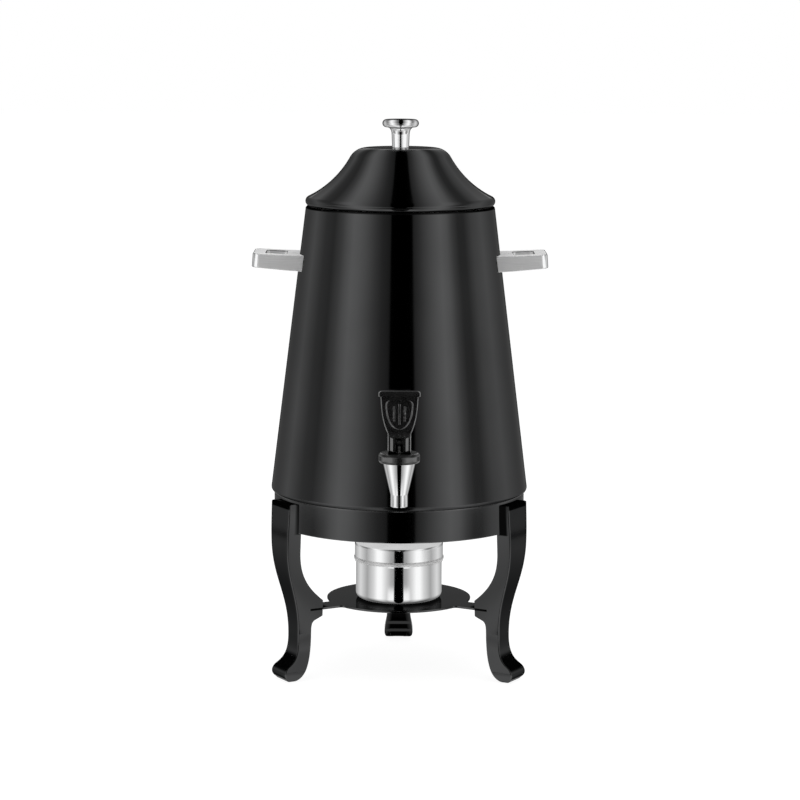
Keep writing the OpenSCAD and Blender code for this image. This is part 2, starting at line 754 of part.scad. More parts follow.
// Return spring: one unbroken wire wound between the seat cup and the bonnet
coil_r = stem_r + 1.7;
module tap_spring() {
  sides = 6;
  steps = 8 * spring_turns;
  z0 = cup_high_z + wire_r + run_gap;
  rise = spigot_z - wire_r - run_gap - z0;
  points = [for (i = [0:steps], k = [0:sides - 1]) let (a = 360 * i / 8, b = 360 * k / sides)
    [(coil_r + wire_r * cos(b)) * cos(a), (coil_r + wire_r * cos(b)) * sin(a), z0 + rise * i / steps + wire_r * sin(b)]];
  skin = [for (i = [0:steps - 1], k = [0:sides - 1]) let (m = (k + 1) % sides)
    each [[i * sides + k, i * sides + m, (i + 1) * sides + k], [i * sides + m, (i + 1) * sides + m, (i + 1) * sides + k]]];
  first = [for (k = [1:sides - 2]) [0, k + 1, k]];
  last = [for (k = [1:sides - 2]) [steps * sides, steps * sides + k, steps * sides + k + 1]];
  color(plain_steel) on_spout() polyhedron(points, concat(skin, first, last));
}

module lever_pin() {
  length = neck_w - 1.6;
  color(plain_steel) on_spout() translate([-length / 2, 0, pin_z]) rod(pin_r, length);
}

// Lever: its heel is a cam that rides on the bonnet and lifts the valve as the lever is pulled.
// In the side outline, the first number runs forward from the pin and the second upward.
heel_h = pin_rise - run_gap * 2;
cam_rate = valve_lift / lever_pull * 180 / PI;
// The cam's reach grows evenly with the pull, so each point lies where the bonnet touches it
function cam(n) = [for (i = [0:n]) let (a = lever_pull * i / n, h = heel_h + valve_lift * i / n)
  [h * sin(a) + cam_rate * cos(a), cam_rate * sin(a) - h * cos(a)]];
block_front = cam(1)[1][0];
block_back = -eye_r - 2.5;
block_top = 6.2;
paddle_low = block_top + 3.5;
lip_low = lever_h - lip_h;
paddle_face = 5;
// Front of the paddle from the block to the lip, moved back by a depth
function paddle_front(d) =
  curve([paddle_face + 0.5 - d, paddle_low], [paddle_face - 1 - d, paddle_low + 12],
    [paddle_face - 1 - d, lip_low - 12], [paddle_face + 0.5 - d, lip_low], 8);

module lever_side() {
  lip_front = paddle_face + 0.5 + lip_out;
  polygon(concat(
    [[block_back + 1.5, -heel_h]], cam(9), [[block_front, block_top]],
    paddle_front(0),
    curve([lip_front - 0.8, lip_low], [lip_front, lip_low + 1], [lip_front, lever_h - 1.5], [lip_front - 1.5, lever_h], 5),
    curve([paddle_face - paddle_t + 1, lever_h], [paddle_face - paddle_t - 0.5, lever_h],
      [paddle_face - paddle_t - 0.5, lever_h - 3], [paddle_face - paddle_t - 0.5, lip_low], 4),
    flip(paddle_front(paddle_t)),
    [[block_back, block_top - 2], [block_back, 1.5 - heel_h]]
  ));
}

// Half of the lever seen from the front
function lever_half() = concat(
  [[neck_w / 2, -heel_h - past], [neck_w / 2, block_top]],
  curve([neck_w / 2, paddle_low - 1], [paddle_w / 2 - 2.5, paddle_low + 8], [paddle_w / 2 - 0.6, paddle_low + 18],
    [paddle_w / 2, lip_low - 0.5], 8),
  arc([paddle_w / 2 + lip_out - 1, lip_low + 1], 1, -90, 0, 3),
  arc([paddle_w / 2 + lip_out - 2, lever_h - 2], 2, 0, 90, 4)
);

// Thumb recess: a round-ended hollow that narrows downward, with three ribs left standing
module thumb_outline() {
  low = paddle_low + 3;
  high = lip_low - 4;
  half = paddle_w / 2 - 5;
  rib_w = 1.4;
  rib_step = 5.2;
  difference() {
    polygon(mirrored(concat(
      curve([0, low], [half * 0.7, low], [half, low + 12], [half, high - 4], 8),
      arc([half - 4, high - 4], 4, 0, 90, 4)
    )));
    for (i = [-1:1]) translate([i * rib_step - rib_w / 2, low + 5 + 3 * abs(i)])
      square([rib_w, high - low - 9 - 5 * abs(i)]);
  }
}

module tap_lever() {
  half = lever_half();
  reach = paddle_w + 2 * lip_out + past;
  slot_w = eye_w + 2 * slip_gap;
  recess_w = neck_w - 5;
  recess_t = 1.4;
  bevel_w = 2.6;
  color(black_plastic) on_spout() translate([0, 0, pin_z]) rotate([0, 0, -90]) difference() {
    intersection() {
      rotate([90, 0, 0]) linear_extrude(reach, center = true) lever_side();
      front_slab(mirrored(half), block_back - past, block_front + past);
    }
    // Slot for the stem and its eye, open below and in front
    translate([0, -slot_w / 2, 0]) rotate([-90, 0, 0]) cylinder(h = slot_w, r = eye_r + slip_gap);
    translate([-stem_r - slip_gap, -slot_w / 2, -heel_h - past])
      cube([block_front + past, slot_w, heel_h + past + eye_r + slip_gap]);
    // Pin hole
    translate([0, -reach / 2, 0]) rotate([-90, 0, 0]) cylinder(h = reach, r = pin_r + run_gap);
    // Bevelled recess in the front of the neck
    translate([0, 0, -heel_h - past]) linear_extrude(heel_h + past + block_top - 1.5) polygon([
      [block_front + eps, -recess_w / 2], [block_front + eps, recess_w / 2],
      [block_front - recess_t, recess_w / 2 - bevel_w], [block_front - recess_t, bevel_w - recess_w / 2]
    ]);
    // Thumb recess, at an even depth below the curved front
    intersection() {
      rotate([90, 0, 90]) linear_extrude(block_front + past) thumb_outline();
      side_slab(concat(paddle_front(thumb_depth), [[block_front + past, lip_low], [block_front + past, paddle_low]]), reach);
    }
  }
}

stand_ring();
leg_left();
leg_right();
leg_rear();
leg_screws();
fuel_plate();
fuel_cup();
fuel_cup_lid();
tank_shell();
tank_floor();
handle_left();
handle_right();
handle_screws();
handle_washers();
lid_shell();
lid_collar();
lid_knob();
knob_screw();
knob_washer();
tap_body();
shank_gasket_outer();
shank_gasket_inner();
shank_nut();
tap_bonnet();
tap_spring();
valve_stem();
seat_cup();
lever_pin();
tap_lever();
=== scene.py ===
"""Looks of a hot-drink urn: a black cone-shaped tank with a bell lid, two loop handles and a lever tap,
on a stand of three cabriole legs that carries a plate with a covered fuel cup.

Shapes are numpy surfaces in millimetres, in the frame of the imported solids: +Z up, the tap towards -Y."""

import logging
import math
from dataclasses import dataclass, field, replace
from enum import Enum
from typing import Any, ClassVar

import bmesh
import bpy
import numpy as np
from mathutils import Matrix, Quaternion


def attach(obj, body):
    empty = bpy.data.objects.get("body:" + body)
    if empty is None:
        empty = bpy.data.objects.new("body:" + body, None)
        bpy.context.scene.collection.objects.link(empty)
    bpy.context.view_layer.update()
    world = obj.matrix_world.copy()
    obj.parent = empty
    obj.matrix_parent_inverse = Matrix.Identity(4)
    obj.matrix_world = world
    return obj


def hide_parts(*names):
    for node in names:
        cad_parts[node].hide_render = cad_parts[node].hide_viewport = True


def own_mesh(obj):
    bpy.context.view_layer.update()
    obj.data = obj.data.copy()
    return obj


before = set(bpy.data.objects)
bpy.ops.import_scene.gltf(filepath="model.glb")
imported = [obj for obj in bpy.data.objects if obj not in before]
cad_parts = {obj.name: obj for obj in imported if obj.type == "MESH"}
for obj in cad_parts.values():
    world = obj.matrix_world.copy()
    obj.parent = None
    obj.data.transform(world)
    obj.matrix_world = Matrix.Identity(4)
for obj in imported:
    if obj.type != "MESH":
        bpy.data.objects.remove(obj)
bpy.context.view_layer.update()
LOG = logging.getLogger("urn")
MM = 0.001
Array = np.ndarray
Material = bpy.types.Material
Socket = bpy.types.NodeSocket
Stops = tuple[tuple[float, float], ...]


class Axis(Enum):
    """The line that a turned shape goes round."""

    UP = "up"
    BACK = "back"


class Side(Enum):
    """Which side of the tank a handle is on; the value is the azimuth in degrees."""

    RIGHT = 0.0
    LEFT = 180.0


class LegPlace(Enum):
    """Where a leg stands; the value is its azimuth in degrees."""

    REAR = 90.0
    LEFT = 210.0
    RIGHT = 330.0


# Outlines


def arc(centre: Any, radius: float, start: float, end: float, steps: int) -> Array:
    """Points of a circle from one angle in degrees to another: c + r (cos t, sin t), in even chords."""
    t = np.radians(np.linspace(start, end, steps + 1))
    return np.stack([centre[0] + radius * np.cos(t), centre[1] + radius * np.sin(t)], axis=1)


def bezier(p: Any, q: Any, s: Any, t: Any, steps: int = 40) -> Array:
    """Cubic curve from p to t with the handles q and s: sum of the four Bernstein weights times the points.

    Args:
        p: First point.
        q: Handle of the first point.
        s: Handle of the last point.
        t: Last point.
        steps: Number of chords.

    Returns:
        Array of steps + 1 points.
    """
    u = np.linspace(0.0, 1.0, steps + 1)[:, None]
    v = 1.0 - u
    return (v**3 * np.asarray(p, float) + 3 * v * v * u * np.asarray(q, float)
            + 3 * v * u * u * np.asarray(s, float) + u**3 * np.asarray(t, float))


def rounded(points: Any, radii: Any, steps: int = 5) -> Array:
    """Closed outline with round corners: each corner's arc touches both of its edges.

    Args:
        points: Corners of the outline, in order.
        radii: One radius for each corner.
        steps: Chords for each corner.

    Returns:
        Points of the rounded outline.
    """
    nothing = 1e-5
    p, r = np.asarray(points, float), np.asarray(radii, float)[:, None]
    a, b = np.roll(p, 1, axis=0) - p, np.roll(p, -1, axis=0) - p
    a, b = a / np.linalg.norm(a, axis=1)[:, None], b / np.linalg.norm(b, axis=1)[:, None]
    half = np.arccos(np.clip((a * b).sum(axis=1), -1, 1))[:, None] / 2
    middle = (a + b) / np.linalg.norm(a + b, axis=1)[:, None]
    centre = p + middle * r / np.sin(half)
    first, last = p + a * r / np.tan(half) - centre, p + b * r / np.tan(half) - centre
    turn = (np.pi - 2 * half)[:, None]
    w = np.linspace(0.0, 1.0, steps + 1)[None, :, None]
    swept = (np.sin((1 - w) * turn) * first[:, None] + np.sin(w * turn) * last[:, None]) / np.sin(turn)
    loop = (centre[:, None] + swept).reshape(-1, 2)
    return loop[np.linalg.norm(loop - np.roll(loop, 1, axis=0), axis=1) > nothing]


def sheet(outside: Array, inside: Array) -> tuple[Array, Array]:
    """Outline of a sheet, along its outside and back along its inside, and finish 0 or 1 of each stretch."""
    return np.concatenate([outside, inside]), np.repeat([0, 1], [len(outside), len(inside)])


def bend(grid: Array, wrap: bool) -> Array:
    """How sharply a grid's columns turn: angle between neighbouring chords over their mean length.

    Args:
        grid: Points, of shape (rows, columns, 2 or 3).
        wrap: Whether the last row meets the first.

    Returns:
        Edge mark from 0 on flat or gently curved rows to 1 on tight edges.
    """
    gentle, tight, shortest, nothing = 0.3, 0.9, 0.05, 1e-6
    before, after = np.roll(grid, 1, axis=0), np.roll(grid, -1, axis=0)
    if not wrap:
        before[0], after[-1] = grid[0], grid[-1]
    a, b = grid - before, after - grid
    la, lb = np.linalg.norm(a, axis=-1), np.linalg.norm(b, axis=-1)
    turn = np.arccos(np.clip((a * b).sum(axis=-1) / np.maximum(la * lb, 1e-9), -1, 1))
    turn = np.where((la < nothing) | (lb < nothing), 0.0, turn)
    return np.clip((turn / np.maximum((la + lb) / 2, shortest) - gentle) / (tight - gentle), 0.0, 1.0)


def joint_shade(up: Array) -> Array:
    """Share of painted shade beside a joint: most of it within a rounding, all of it in the gap.

    Args:
        up: Distance from the joint in roundings.

    Returns:
        Share from 0 to 1.
    """
    rounding_end, rounding_fade, gap_end, gap_fade, rounding_share = 0.85, 0.2, 0.3, 0.12, 0.8
    film, gap = np.clip((rounding_end - up) / rounding_fade, 0, 1), np.clip((gap_end - up) / gap_fade, 0, 1)
    return rounding_share * film + (1 - rounding_share) * gap


def smooth_step(value: Array) -> Array:
    """Soft rise from 0 to 1: u u (3 - 2 u) of the value held between them."""
    u = np.clip(value, 0, 1)
    return u * u * (3 - 2 * u)


def round_off(past: Array, radius: Any) -> Array:
    """Drop of a quarter-round edge at a distance d past its start, and 0 before it: r - sqrt(r r - d d)."""
    share = np.clip(past / radius, 0, 1)
    return radius * (1 - np.sqrt(1 - share**2))


def with_steps(levels: Array, steps: Array, apart: float) -> Array:
    """Rising levels of a loft, with each of its steps there twice, a hair below and a hair above it."""
    return np.unique(np.round(np.concatenate([levels, steps - apart, steps + apart]), 4))


# Meshes


@dataclass
class Skin:
    """A closed surface in the making: points in millimetres, faces, and marks for the finish.

    Each point has an edge mark and a share of painted shade (seam), each face a finish number (part), and
    caps are faces of many corners.
    """

    points: Array
    quads: Array
    edge: Array
    part: Array
    seam: Array
    caps: list[list[int]] = field(default_factory=list)

    @staticmethod
    def of_grid(grid: Array, edge: Array, wrap: bool, part: Any = 0, seam: Any = 0.0) -> "Skin":
        """Joins each point of a grid with its neighbours; the last column meets the first.

        Args:
            grid: Points, of shape (rows, columns, 3).
            edge: Edge mark of each point.
            wrap: Whether the last row meets the first too.
            part: Finish number of all faces, of each row or of each face.
            seam: Share of painted shade of all points, of each row or of each point.

        Returns:
            The surface.
        """
        rows, columns = grid.shape[:2]
        index = np.arange(rows * columns).reshape(rows, columns)
        index = np.concatenate([index, index[:, :1]], axis=1)
        if wrap:
            index = np.concatenate([index, index[:1]], axis=0)
        quads = np.stack([index[:-1, :-1], index[:-1, 1:], index[1:, 1:], index[1:, :-1]], axis=-1)
        parts, painted_dark = np.broadcast_to(part, quads.shape[:2]), np.broadcast_to(seam, (rows, columns))
        return Skin(grid.reshape(-1, 3), quads.reshape(-1, 4), edge.reshape(-1), parts.reshape(-1),
                    painted_dark.reshape(-1))

    def capped(self, count: int) -> "Skin":
        """The same surface with a face over its first and one over its last row of that many points."""
        last = len(self.points) - count
        return replace(self, caps=[list(range(count)), list(range(last, last + count))])

    def joined(self, other: "Skin") -> "Skin":
        """Both surfaces as one, with the other's indices moved past this one's.

        Args:
            other: The surface to add.

        Returns:
            The joint surface.
        """
        shift = len(self.points)
        pairs = ((self.points, other.points), (self.quads, other.quads + shift), (self.edge, other.edge),
                 (self.part, other.part), (self.seam, other.seam))
        caps = self.caps + [[i + shift for i in cap] for cap in other.caps]
        return Skin(*(np.concatenate(pair) for pair in pairs), caps)

    def spun(self, azimuth: float) -> "Skin":
        """The same surface turned about the vertical axis, by the plane rotation of x and y.

        Args:
            azimuth: Angle in degrees.

        Returns:
            The turned surface.
        """
        c, s = math.cos(math.radians(azimuth)), math.sin(math.radians(azimuth))
        turn = np.array([[c, s, 0.0], [-s, c, 0.0], [0.0, 0.0, 1.0]])
        return replace(self, points=self.points @ turn)


def lathe(outline: Any, segments: int, axis: Axis = Axis.UP, at: tuple[float, float] = (0.0, 0.0),
          part: Any = 0, seam: Any = 0.0) -> Skin:
    """Surface of revolution of a closed outline: (r cos t, r sin t, z) about a vertical axis at (x, y),
    or (r cos t, y, r sin t) about a level axis at (x, z) that runs to the back.

    Args:
        outline: Points of radius and station, closed by themselves.
        segments: Steps round the axis.
        axis: The line that the outline goes round.
        at: Place of that line.
        part: Finish number, or one for each stretch of the outline.
        seam: Share of painted shade, or one for each point of the outline.

    Returns:
        The surface.
    """
    line = np.asarray(outline, float)
    t = np.linspace(0.0, 2 * np.pi, segments, endpoint=False)[None, :]
    r, station = line[:, :1], np.broadcast_to(line[:, 1:], (len(line), segments))
    across, along = at[0] + r * np.cos(t), at[1] + r * np.sin(t)
    grid = np.stack([across, along, station] if axis is Axis.UP else [across, station, along], axis=-1)
    mark = np.repeat(bend(line[:, None], True), segments, axis=1)
    return Skin.of_grid(grid, mark, True, np.reshape(part, (-1, 1)), np.reshape(seam, (-1, 1)))


def loft(x: Array, y: Array, z: Array, seam: Any = 0.0) -> Skin:
    """Surface through closed level sections, each a row of points, with a face over both ends.

    Args:
        x: Places of the points, of shape (sections, points).
        y: The same across.
        z: Height of each section, of shape (sections, 1).
        seam: Share of painted shade of all points or of each.

    Returns:
        The surface.
    """
    grid = np.stack([x, y, np.broadcast_to(z, x.shape)], axis=-1)
    mark = bend(grid.swapaxes(0, 1), True).swapaxes(0, 1)
    return Skin.of_grid(grid, mark, False, seam=seam).capped(x.shape[1])


@dataclass(frozen=True)
class Piece:
    """What a finished piece is called, what it moves with and which solids it stands for."""

    name: str
    body: str
    slot: str
    stands_for: tuple[str, ...]
    mirrored: bool = True

    def make(self, skin: Skin, materials: list[Material], sharp: float = 38.0) -> bpy.types.Object:
        """Puts a surface into a mesh, closes its seams and poles, and lets it ride on its body.

        Args:
            skin: The surface in millimetres.
            materials: Finishes by number.
            sharp: Angle in degrees above which an edge stays crisp.

        Returns:
            The new object.
        """
        mesh = bpy.data.meshes.new(self.name)
        mesh.from_pydata((skin.points * MM).tolist(), [], skin.quads.tolist() + skin.caps)
        # The second mark is the share of painted shade that the finishes darken by
        for name, mark in (("edge", skin.edge), ("seam", skin.seam)):
            mesh.attributes.new(name, "FLOAT", "POINT").data.foreach_set("value", mark.astype(np.float32))
        part = np.concatenate([skin.part, np.zeros(len(skin.caps), int)])
        mesh.polygons.foreach_set("material_index", part.astype(np.int32))
        work = bmesh.new()
        work.from_mesh(mesh)
        bmesh.ops.remove_doubles(work, verts=work.verts, dist=0.0002 * MM)
        bmesh.ops.dissolve_degenerate(work, edges=work.edges, dist=0.0001 * MM)
        bmesh.ops.recalc_face_normals(work, faces=work.faces)
        work.to_mesh(mesh)
        work.free()
        mesh.polygons.foreach_set("use_smooth", np.ones(len(mesh.polygons), bool))
        mesh.set_sharp_from_angle(angle=math.radians(sharp))
        for material in materials:
            mesh.materials.append(material)
        made = bpy.data.objects.new(self.name, mesh)
        bpy.context.scene.collection.objects.link(made)
        even = made.modifiers.new("even_faces", "WEIGHTED_NORMAL")
        even.keep_sharp = True
        made.visible_glossy = self.mirrored
        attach(made, self.body)
        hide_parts(*self.stands_for)
        LOG.info("%s: %d faces on %s", self.name, len(mesh.polygons), self.body)
        return made


# Finishes


def grey(level: float, warmth: float = 0.0) -> tuple[float, float, float, float]:
    """A grey of a linear level, a little warmer or cooler."""
    return (level * (1 + warmth), level, level * (1 - warmth), 1.0)


class Graph:
    """A material's nodes, with short calls to add and join them."""

    def __init__(self, name: str) -> None:
        """Starts an empty material with one principled shader.

        Args:
            name: Name of the material.
        """
        self.material = bpy.data.materials.new(name)
        self.material.use_nodes = True
        self.start(self.material.node_tree, "ShaderNodeBsdfPrincipled", "ShaderNodeOutputMaterial", "Object")

    def start(self, tree: bpy.types.NodeTree, shader: str, output: str, coordinates: str) -> None:
        """Empties a node tree and puts one shader and its output there.

        Args:
            tree: The nodes of a material or of the world.
            shader: Blender's name of the shader's node type.
            output: Blender's name of the output's node type.
            coordinates: The coordinates that patterns lie on.
        """
        self.tree = tree
        tree.nodes.clear()
        self.shader = self.add(shader)
        self.output = self.add(output, {"Surface": self.shader.outputs[0]})
        self.place = self.add("ShaderNodeTexCoord").outputs[coordinates]

    def join(self, value: Any, socket: Socket) -> None:
        """Links an output to an input, or sets the input to a value.

        Args:
            value: Output socket, number, vector or colour.
            socket: The input.
        """
        if isinstance(value, Socket):
            self.tree.links.new(value, socket)
        else:
            socket.default_value = value

    def add(self, kind: str, inputs: dict[Any, Any] | None = None, **settings: Any) -> bpy.types.Node:
        """Adds one node.

        Args:
            kind: Blender's name of the node type.
            inputs: Values or output sockets by input name or number.
            settings: Properties of the node.

        Returns:
            The node.
        """
        node = self.tree.nodes.new(kind)
        for name, value in settings.items():
            setattr(node, name, value)
        for name, value in (inputs or {}).items():
            self.join(value, node.inputs[name])
        return node

    def feed(self, socket: str, value: Any) -> None:
        """Sets or links one input of the shader."""
        self.join(value, self.shader.inputs[socket])

    def math(self, operation: str, a: Any, b: Any = 0.0) -> Socket:
        """One arithmetic step of two values or sockets."""
        return self.add("ShaderNodeMath", {0: a, 1: b}, operation=operation).outputs[0]

    def noise(self, scale: float, stretch: tuple[float, ...] = (1, 1, 1), detail: float = 3.0) -> Socket:
        """Cloudy pattern round 0.5, in cells per metre, streaked along an axis with a small stretch."""
        spot = self.add("ShaderNodeMapping", {"Vector": self.place, "Scale": stretch}).outputs[0]
        return self.add("ShaderNodeTexNoise", {"Vector": spot, "Scale": scale, "Detail": detail}).outputs[0]

    def rings(self, scale: float, at: tuple[float, float]) -> Socket:
        """Fine lines that a lathe leaves: noise of the distance from a vertical axis and of the height.

        Args:
            scale: Lines per metre.
            at: Place of the axis in metres.

        Returns:
            Socket with values round 0.5.
        """
        spot = self.add("ShaderNodeMapping", {"Vector": self.place, "Location": (-at[0], -at[1], 0.0)})
        x, y, z = self.add("ShaderNodeSeparateXYZ", {0: spot.outputs[0]}).outputs
        flat = self.add("ShaderNodeCombineXYZ", {0: x, 1: y}).outputs[0]
        line = self.add("ShaderNodeCombineXYZ", {0: self.length(flat), 1: z}).outputs[0]
        return self.add("ShaderNodeTexNoise", {"Vector": line, "Scale": scale, "Detail": 2.0}).outputs[0]

    def length(self, vector: Socket) -> Socket:
        """Length of a vector."""
        return self.add("ShaderNodeVectorMath", {0: vector}, operation="LENGTH").outputs["Value"]

    def spread(self, value: Socket, low: float = 0.0, high: float = 1.0) -> Socket:
        """Maps the middle of a noise, 0.3 to 0.7, to a range."""
        return self.add("ShaderNodeMapRange", {0: value, 1: 0.3, 2: 0.7, 3: low, 4: high}).outputs[0]

    def slope(self, value: Socket, low: float, high: float) -> Socket:
        """Even rise from 0 at one value to 1 at another."""
        return self.add("ShaderNodeMapRange", {0: value, 1: low, 2: high}).outputs[0]

    def rise(self, value: Socket, low: float, high: float) -> Socket:
        """Smooth step from 0 at one value to 1 at another."""
        ends = {0: value, 1: low, 2: high}
        return self.add("ShaderNodeMapRange", ends, interpolation_type="SMOOTHSTEP").outputs[0]

    def between(self, value: Socket, start: float, full: float, fading: float, end: float) -> Socket:
        """Smooth bump: 0 up to start, 1 from full to fading, and 0 from end."""
        return self.math("MULTIPLY", self.rise(value, start, full), self.rise(value, end, fading))

    def ramp(self, value: Socket, stops: Stops) -> Socket:
        """Grey levels along a value.

        Args:
            value: Socket from 0 at the first stop to 1 at the last.
            stops: Places with a level each, rising.

        Returns:
            Socket with the grey.
        """
        node = self.add("ShaderNodeValToRGB", {0: value})
        items = node.color_ramp.elements
        items.remove(items[1])
        first, span = stops[0][0], stops[-1][0] - stops[0][0]
        items[0].position, items[0].color = 0.0, grey(stops[0][1])
        for place, level in stops[1:]:
            items.new((place - first) / span).color = grey(level)
        return node.outputs[0]

    def blend(self, share: Any, a: Any, b: Any) -> Socket:
        """Colour between a and b by a share."""
        return self.add("ShaderNodeMix", {0: share, 6: a, 7: b}, data_type="RGBA").outputs[2]

    def mix(self, share: Any, a: Socket, b: Socket) -> Socket:
        """Shader between a and b by a share."""
        return self.add("ShaderNodeMixShader", {0: share, 1: a, 2: b}).outputs[0]

    def glow(self, colour: Any, strength: float = 1.0) -> Socket:
        """Shader that gives light of a colour."""
        return self.add("ShaderNodeEmission", {"Color": colour, "Strength": strength}).outputs[0]

    def tone(self, pattern: Socket, level: float, waver: tuple[float, float], warmth: float = 0.0) -> Socket:
        """Grey that wavers with a pattern, from a level times the first factor to it times the second."""
        low, high = (grey(level * factor, warmth) for factor in waver)
        return self.blend(self.spread(pattern), low, high)

    def mark(self, name: str) -> Socket:
        """A value that the mesh keeps at its points."""
        return self.add("ShaderNodeAttribute", attribute_name=name).outputs["Fac"]

    def worn(self, amount: float) -> Socket:
        """Share of wear: the edge mark of the mesh, broken up by noise down to a third."""
        patches = self.spread(self.noise(160.0), 0.35 * amount, amount)
        return self.math("MULTIPLY", self.mark("edge"), patches)

    def bump(self, height: Socket, depth: float) -> None:
        """Gives the shader a relief of a depth in metres."""
        self.feed("Normal", self.add("ShaderNodeBump", {"Height": height, "Distance": depth}).outputs[0])


class WorldGraph(Graph):
    """The nodes of the world, with the same short calls."""

    def __init__(self, world: bpy.types.World) -> None:
        """Starts an empty world with one background shader; its place is the direction of view."""
        world.use_nodes = True
        self.start(world.node_tree, "ShaderNodeBackground", "ShaderNodeOutputWorld", "Generated")


@dataclass(frozen=True)
class BlackPlating:
    """Mirror-bright black plating on sheet steel."""

    name: str = "black_plating"
    level: float = 0.085
    rim_tint: float = 0.55
    smooth: float = 0.05
    smudged: float = 0.1
    ripple: float = 0.000004
    waver: tuple[float, float] = (0.94, 1.06)
    warmth: float = -0.01
    rubbed: float = 2.2
    rubbed_rough: float = 0.12
    # Painted shade at joints and in hollows: its colour level and its added roughness; there it also loses
    # the rim tint
    painted_dark: float = 0.004
    shade_rough: float = 0.3

    def material(self) -> Material:
        """Dark metal that varies a little in tone and gloss, with edges rubbed a shade lighter and painted
        shade, near black and rougher, where marked.

        Returns:
            The material.
        """
        g = Graph(self.name)
        # The second mark is painted shade, which turns the metal near black, rougher and without rim tint
        worn, seam = g.worn(0.5), g.mark("seam")
        tone = g.tone(g.noise(scale=14.0), self.level, self.waver, self.warmth)
        tone = g.blend(worn, tone, grey(self.level * self.rubbed))
        g.feed("Base Color", g.blend(seam, tone, grey(self.painted_dark)))
        film = g.spread(g.noise(scale=9.0, detail=5.0), self.smooth, self.smudged)
        rough = g.math("ADD", film, g.math("MULTIPLY", worn, self.rubbed_rough))
        g.feed("Roughness", g.math("ADD", rough, g.math("MULTIPLY", seam, self.shade_rough)))
        g.feed("Metallic", 1.0)
        g.feed("Specular Tint", g.blend(seam, grey(self.rim_tint), grey(0.0)))
        g.bump(g.noise(scale=240.0, detail=2.0), self.ripple)
        return g.material


@dataclass(frozen=True)
class Polish:
    """Bright turned metal: chrome or polished stainless steel."""

    name: str = "polished_steel"
    level: float = 0.97
    rim_tint: float = 0.1
    smooth: float = 0.03
    smudged: float = 0.08
    at: tuple[float, float] = (0.0, 0.0)
    waver: tuple[float, float] = (0.97, 1.0)
    warmth: float = -0.004
    rubbed: float = 0.86
    # Colour of the painted shade, which darkens the can's foot where it stands on the plate
    painted_dark: float = 0.05
    line_rough: float = 0.02
    line_depth: float = 0.0000012

    def material(self) -> Material:
        """Bright metal with hair-fine turning lines, a thin film of handling marks, and painted shade where
        marked.

        Returns:
            The material.
        """
        g = Graph(self.name)
        lines = g.rings(2600.0, self.at)
        tone = g.tone(lines, self.level, self.waver, self.warmth)
        tone = g.blend(g.worn(0.3), tone, grey(self.level * self.rubbed))
        # Painted shade where the mesh marks it
        g.feed("Base Color", g.blend(g.mark("seam"), tone, grey(self.painted_dark)))
        film = g.spread(g.noise(scale=40.0, detail=5.0), self.smooth, self.smudged)
        g.feed("Roughness", g.math("ADD", film, g.math("MULTIPLY", g.spread(lines), self.line_rough)))
        g.feed("Metallic", 1.0)
        g.feed("Specular Tint", grey(self.rim_tint))
        g.bump(lines, self.line_depth)
        return g.material


@dataclass(frozen=True)
class Satin:
    """Stainless steel ground along one direction."""

    name: str = "satin_steel"
    level: float = 0.9
    smooth: float = 0.26
    dull: float = 0.36
    metal: float = 0.42
    stretch: tuple[float, float, float] = (0.02, 1.0, 1.0)
    waver: tuple[float, float] = (0.92, 1.06)
    polished: float = 0.86
    polish_gain: float = 0.14
    # Colour of the painted shade round the handle's finger hole
    painted_dark: float = 0.06
    line_depth: float = 0.000006

    def material(self) -> Material:
        """Grey metal with long grinding lines, edges that are polished by use, and painted shade where
        marked.

        Returns:
            The material.
        """
        g = Graph(self.name)
        lines, worn = g.noise(2400.0, self.stretch, 2.0), g.worn(0.7)
        tone = g.blend(worn, g.tone(lines, self.level, self.waver), grey(self.polished))
        # Painted shade where the mesh marks it
        g.feed("Base Color", g.blend(g.mark("seam"), tone, grey(self.painted_dark)))
        film = g.spread(g.noise(scale=50.0, detail=5.0), self.smooth, self.dull)
        g.feed("Roughness", g.math("SUBTRACT", film, g.math("MULTIPLY", worn, self.polish_gain)))
        g.feed("Metallic", self.metal)
        g.bump(lines, self.line_depth)
        return g.material


@dataclass(frozen=True)
class PlainSteel:
    """Plain stainless steel with turning lines, for inner walls and fasteners."""

    name: str = "plain_steel"
    level: float = 0.6
    smooth: float = 0.22
    dull: float = 0.34
    at: tuple[float, float] = (0.0, 0.0)
    waver: tuple[float, float] = (0.9, 1.08)
    warmth: float = 0.006
    stain: float = 0.8
    stain_warmth: float = 0.02
    stain_share: float = 0.25
    line_depth: float = 0.000004

    def material(self) -> Material:
        """Grey metal with rings from the lathe and faint water marks.

        Returns:
            The material.
        """
        g = Graph(self.name)
        lines = g.rings(1500.0, self.at)
        stains = g.math("MULTIPLY", g.spread(g.noise(scale=22.0, detail=6.0)), self.stain_share)
        tone = g.tone(lines, self.level, self.waver, self.warmth)
        g.feed("Base Color", g.blend(stains, tone, grey(self.level * self.stain, self.stain_warmth)))
        g.feed("Roughness", g.spread(lines, self.smooth, self.dull))
        g.feed("Metallic", 1.0)
        g.bump(lines, self.line_depth)
        return g.material


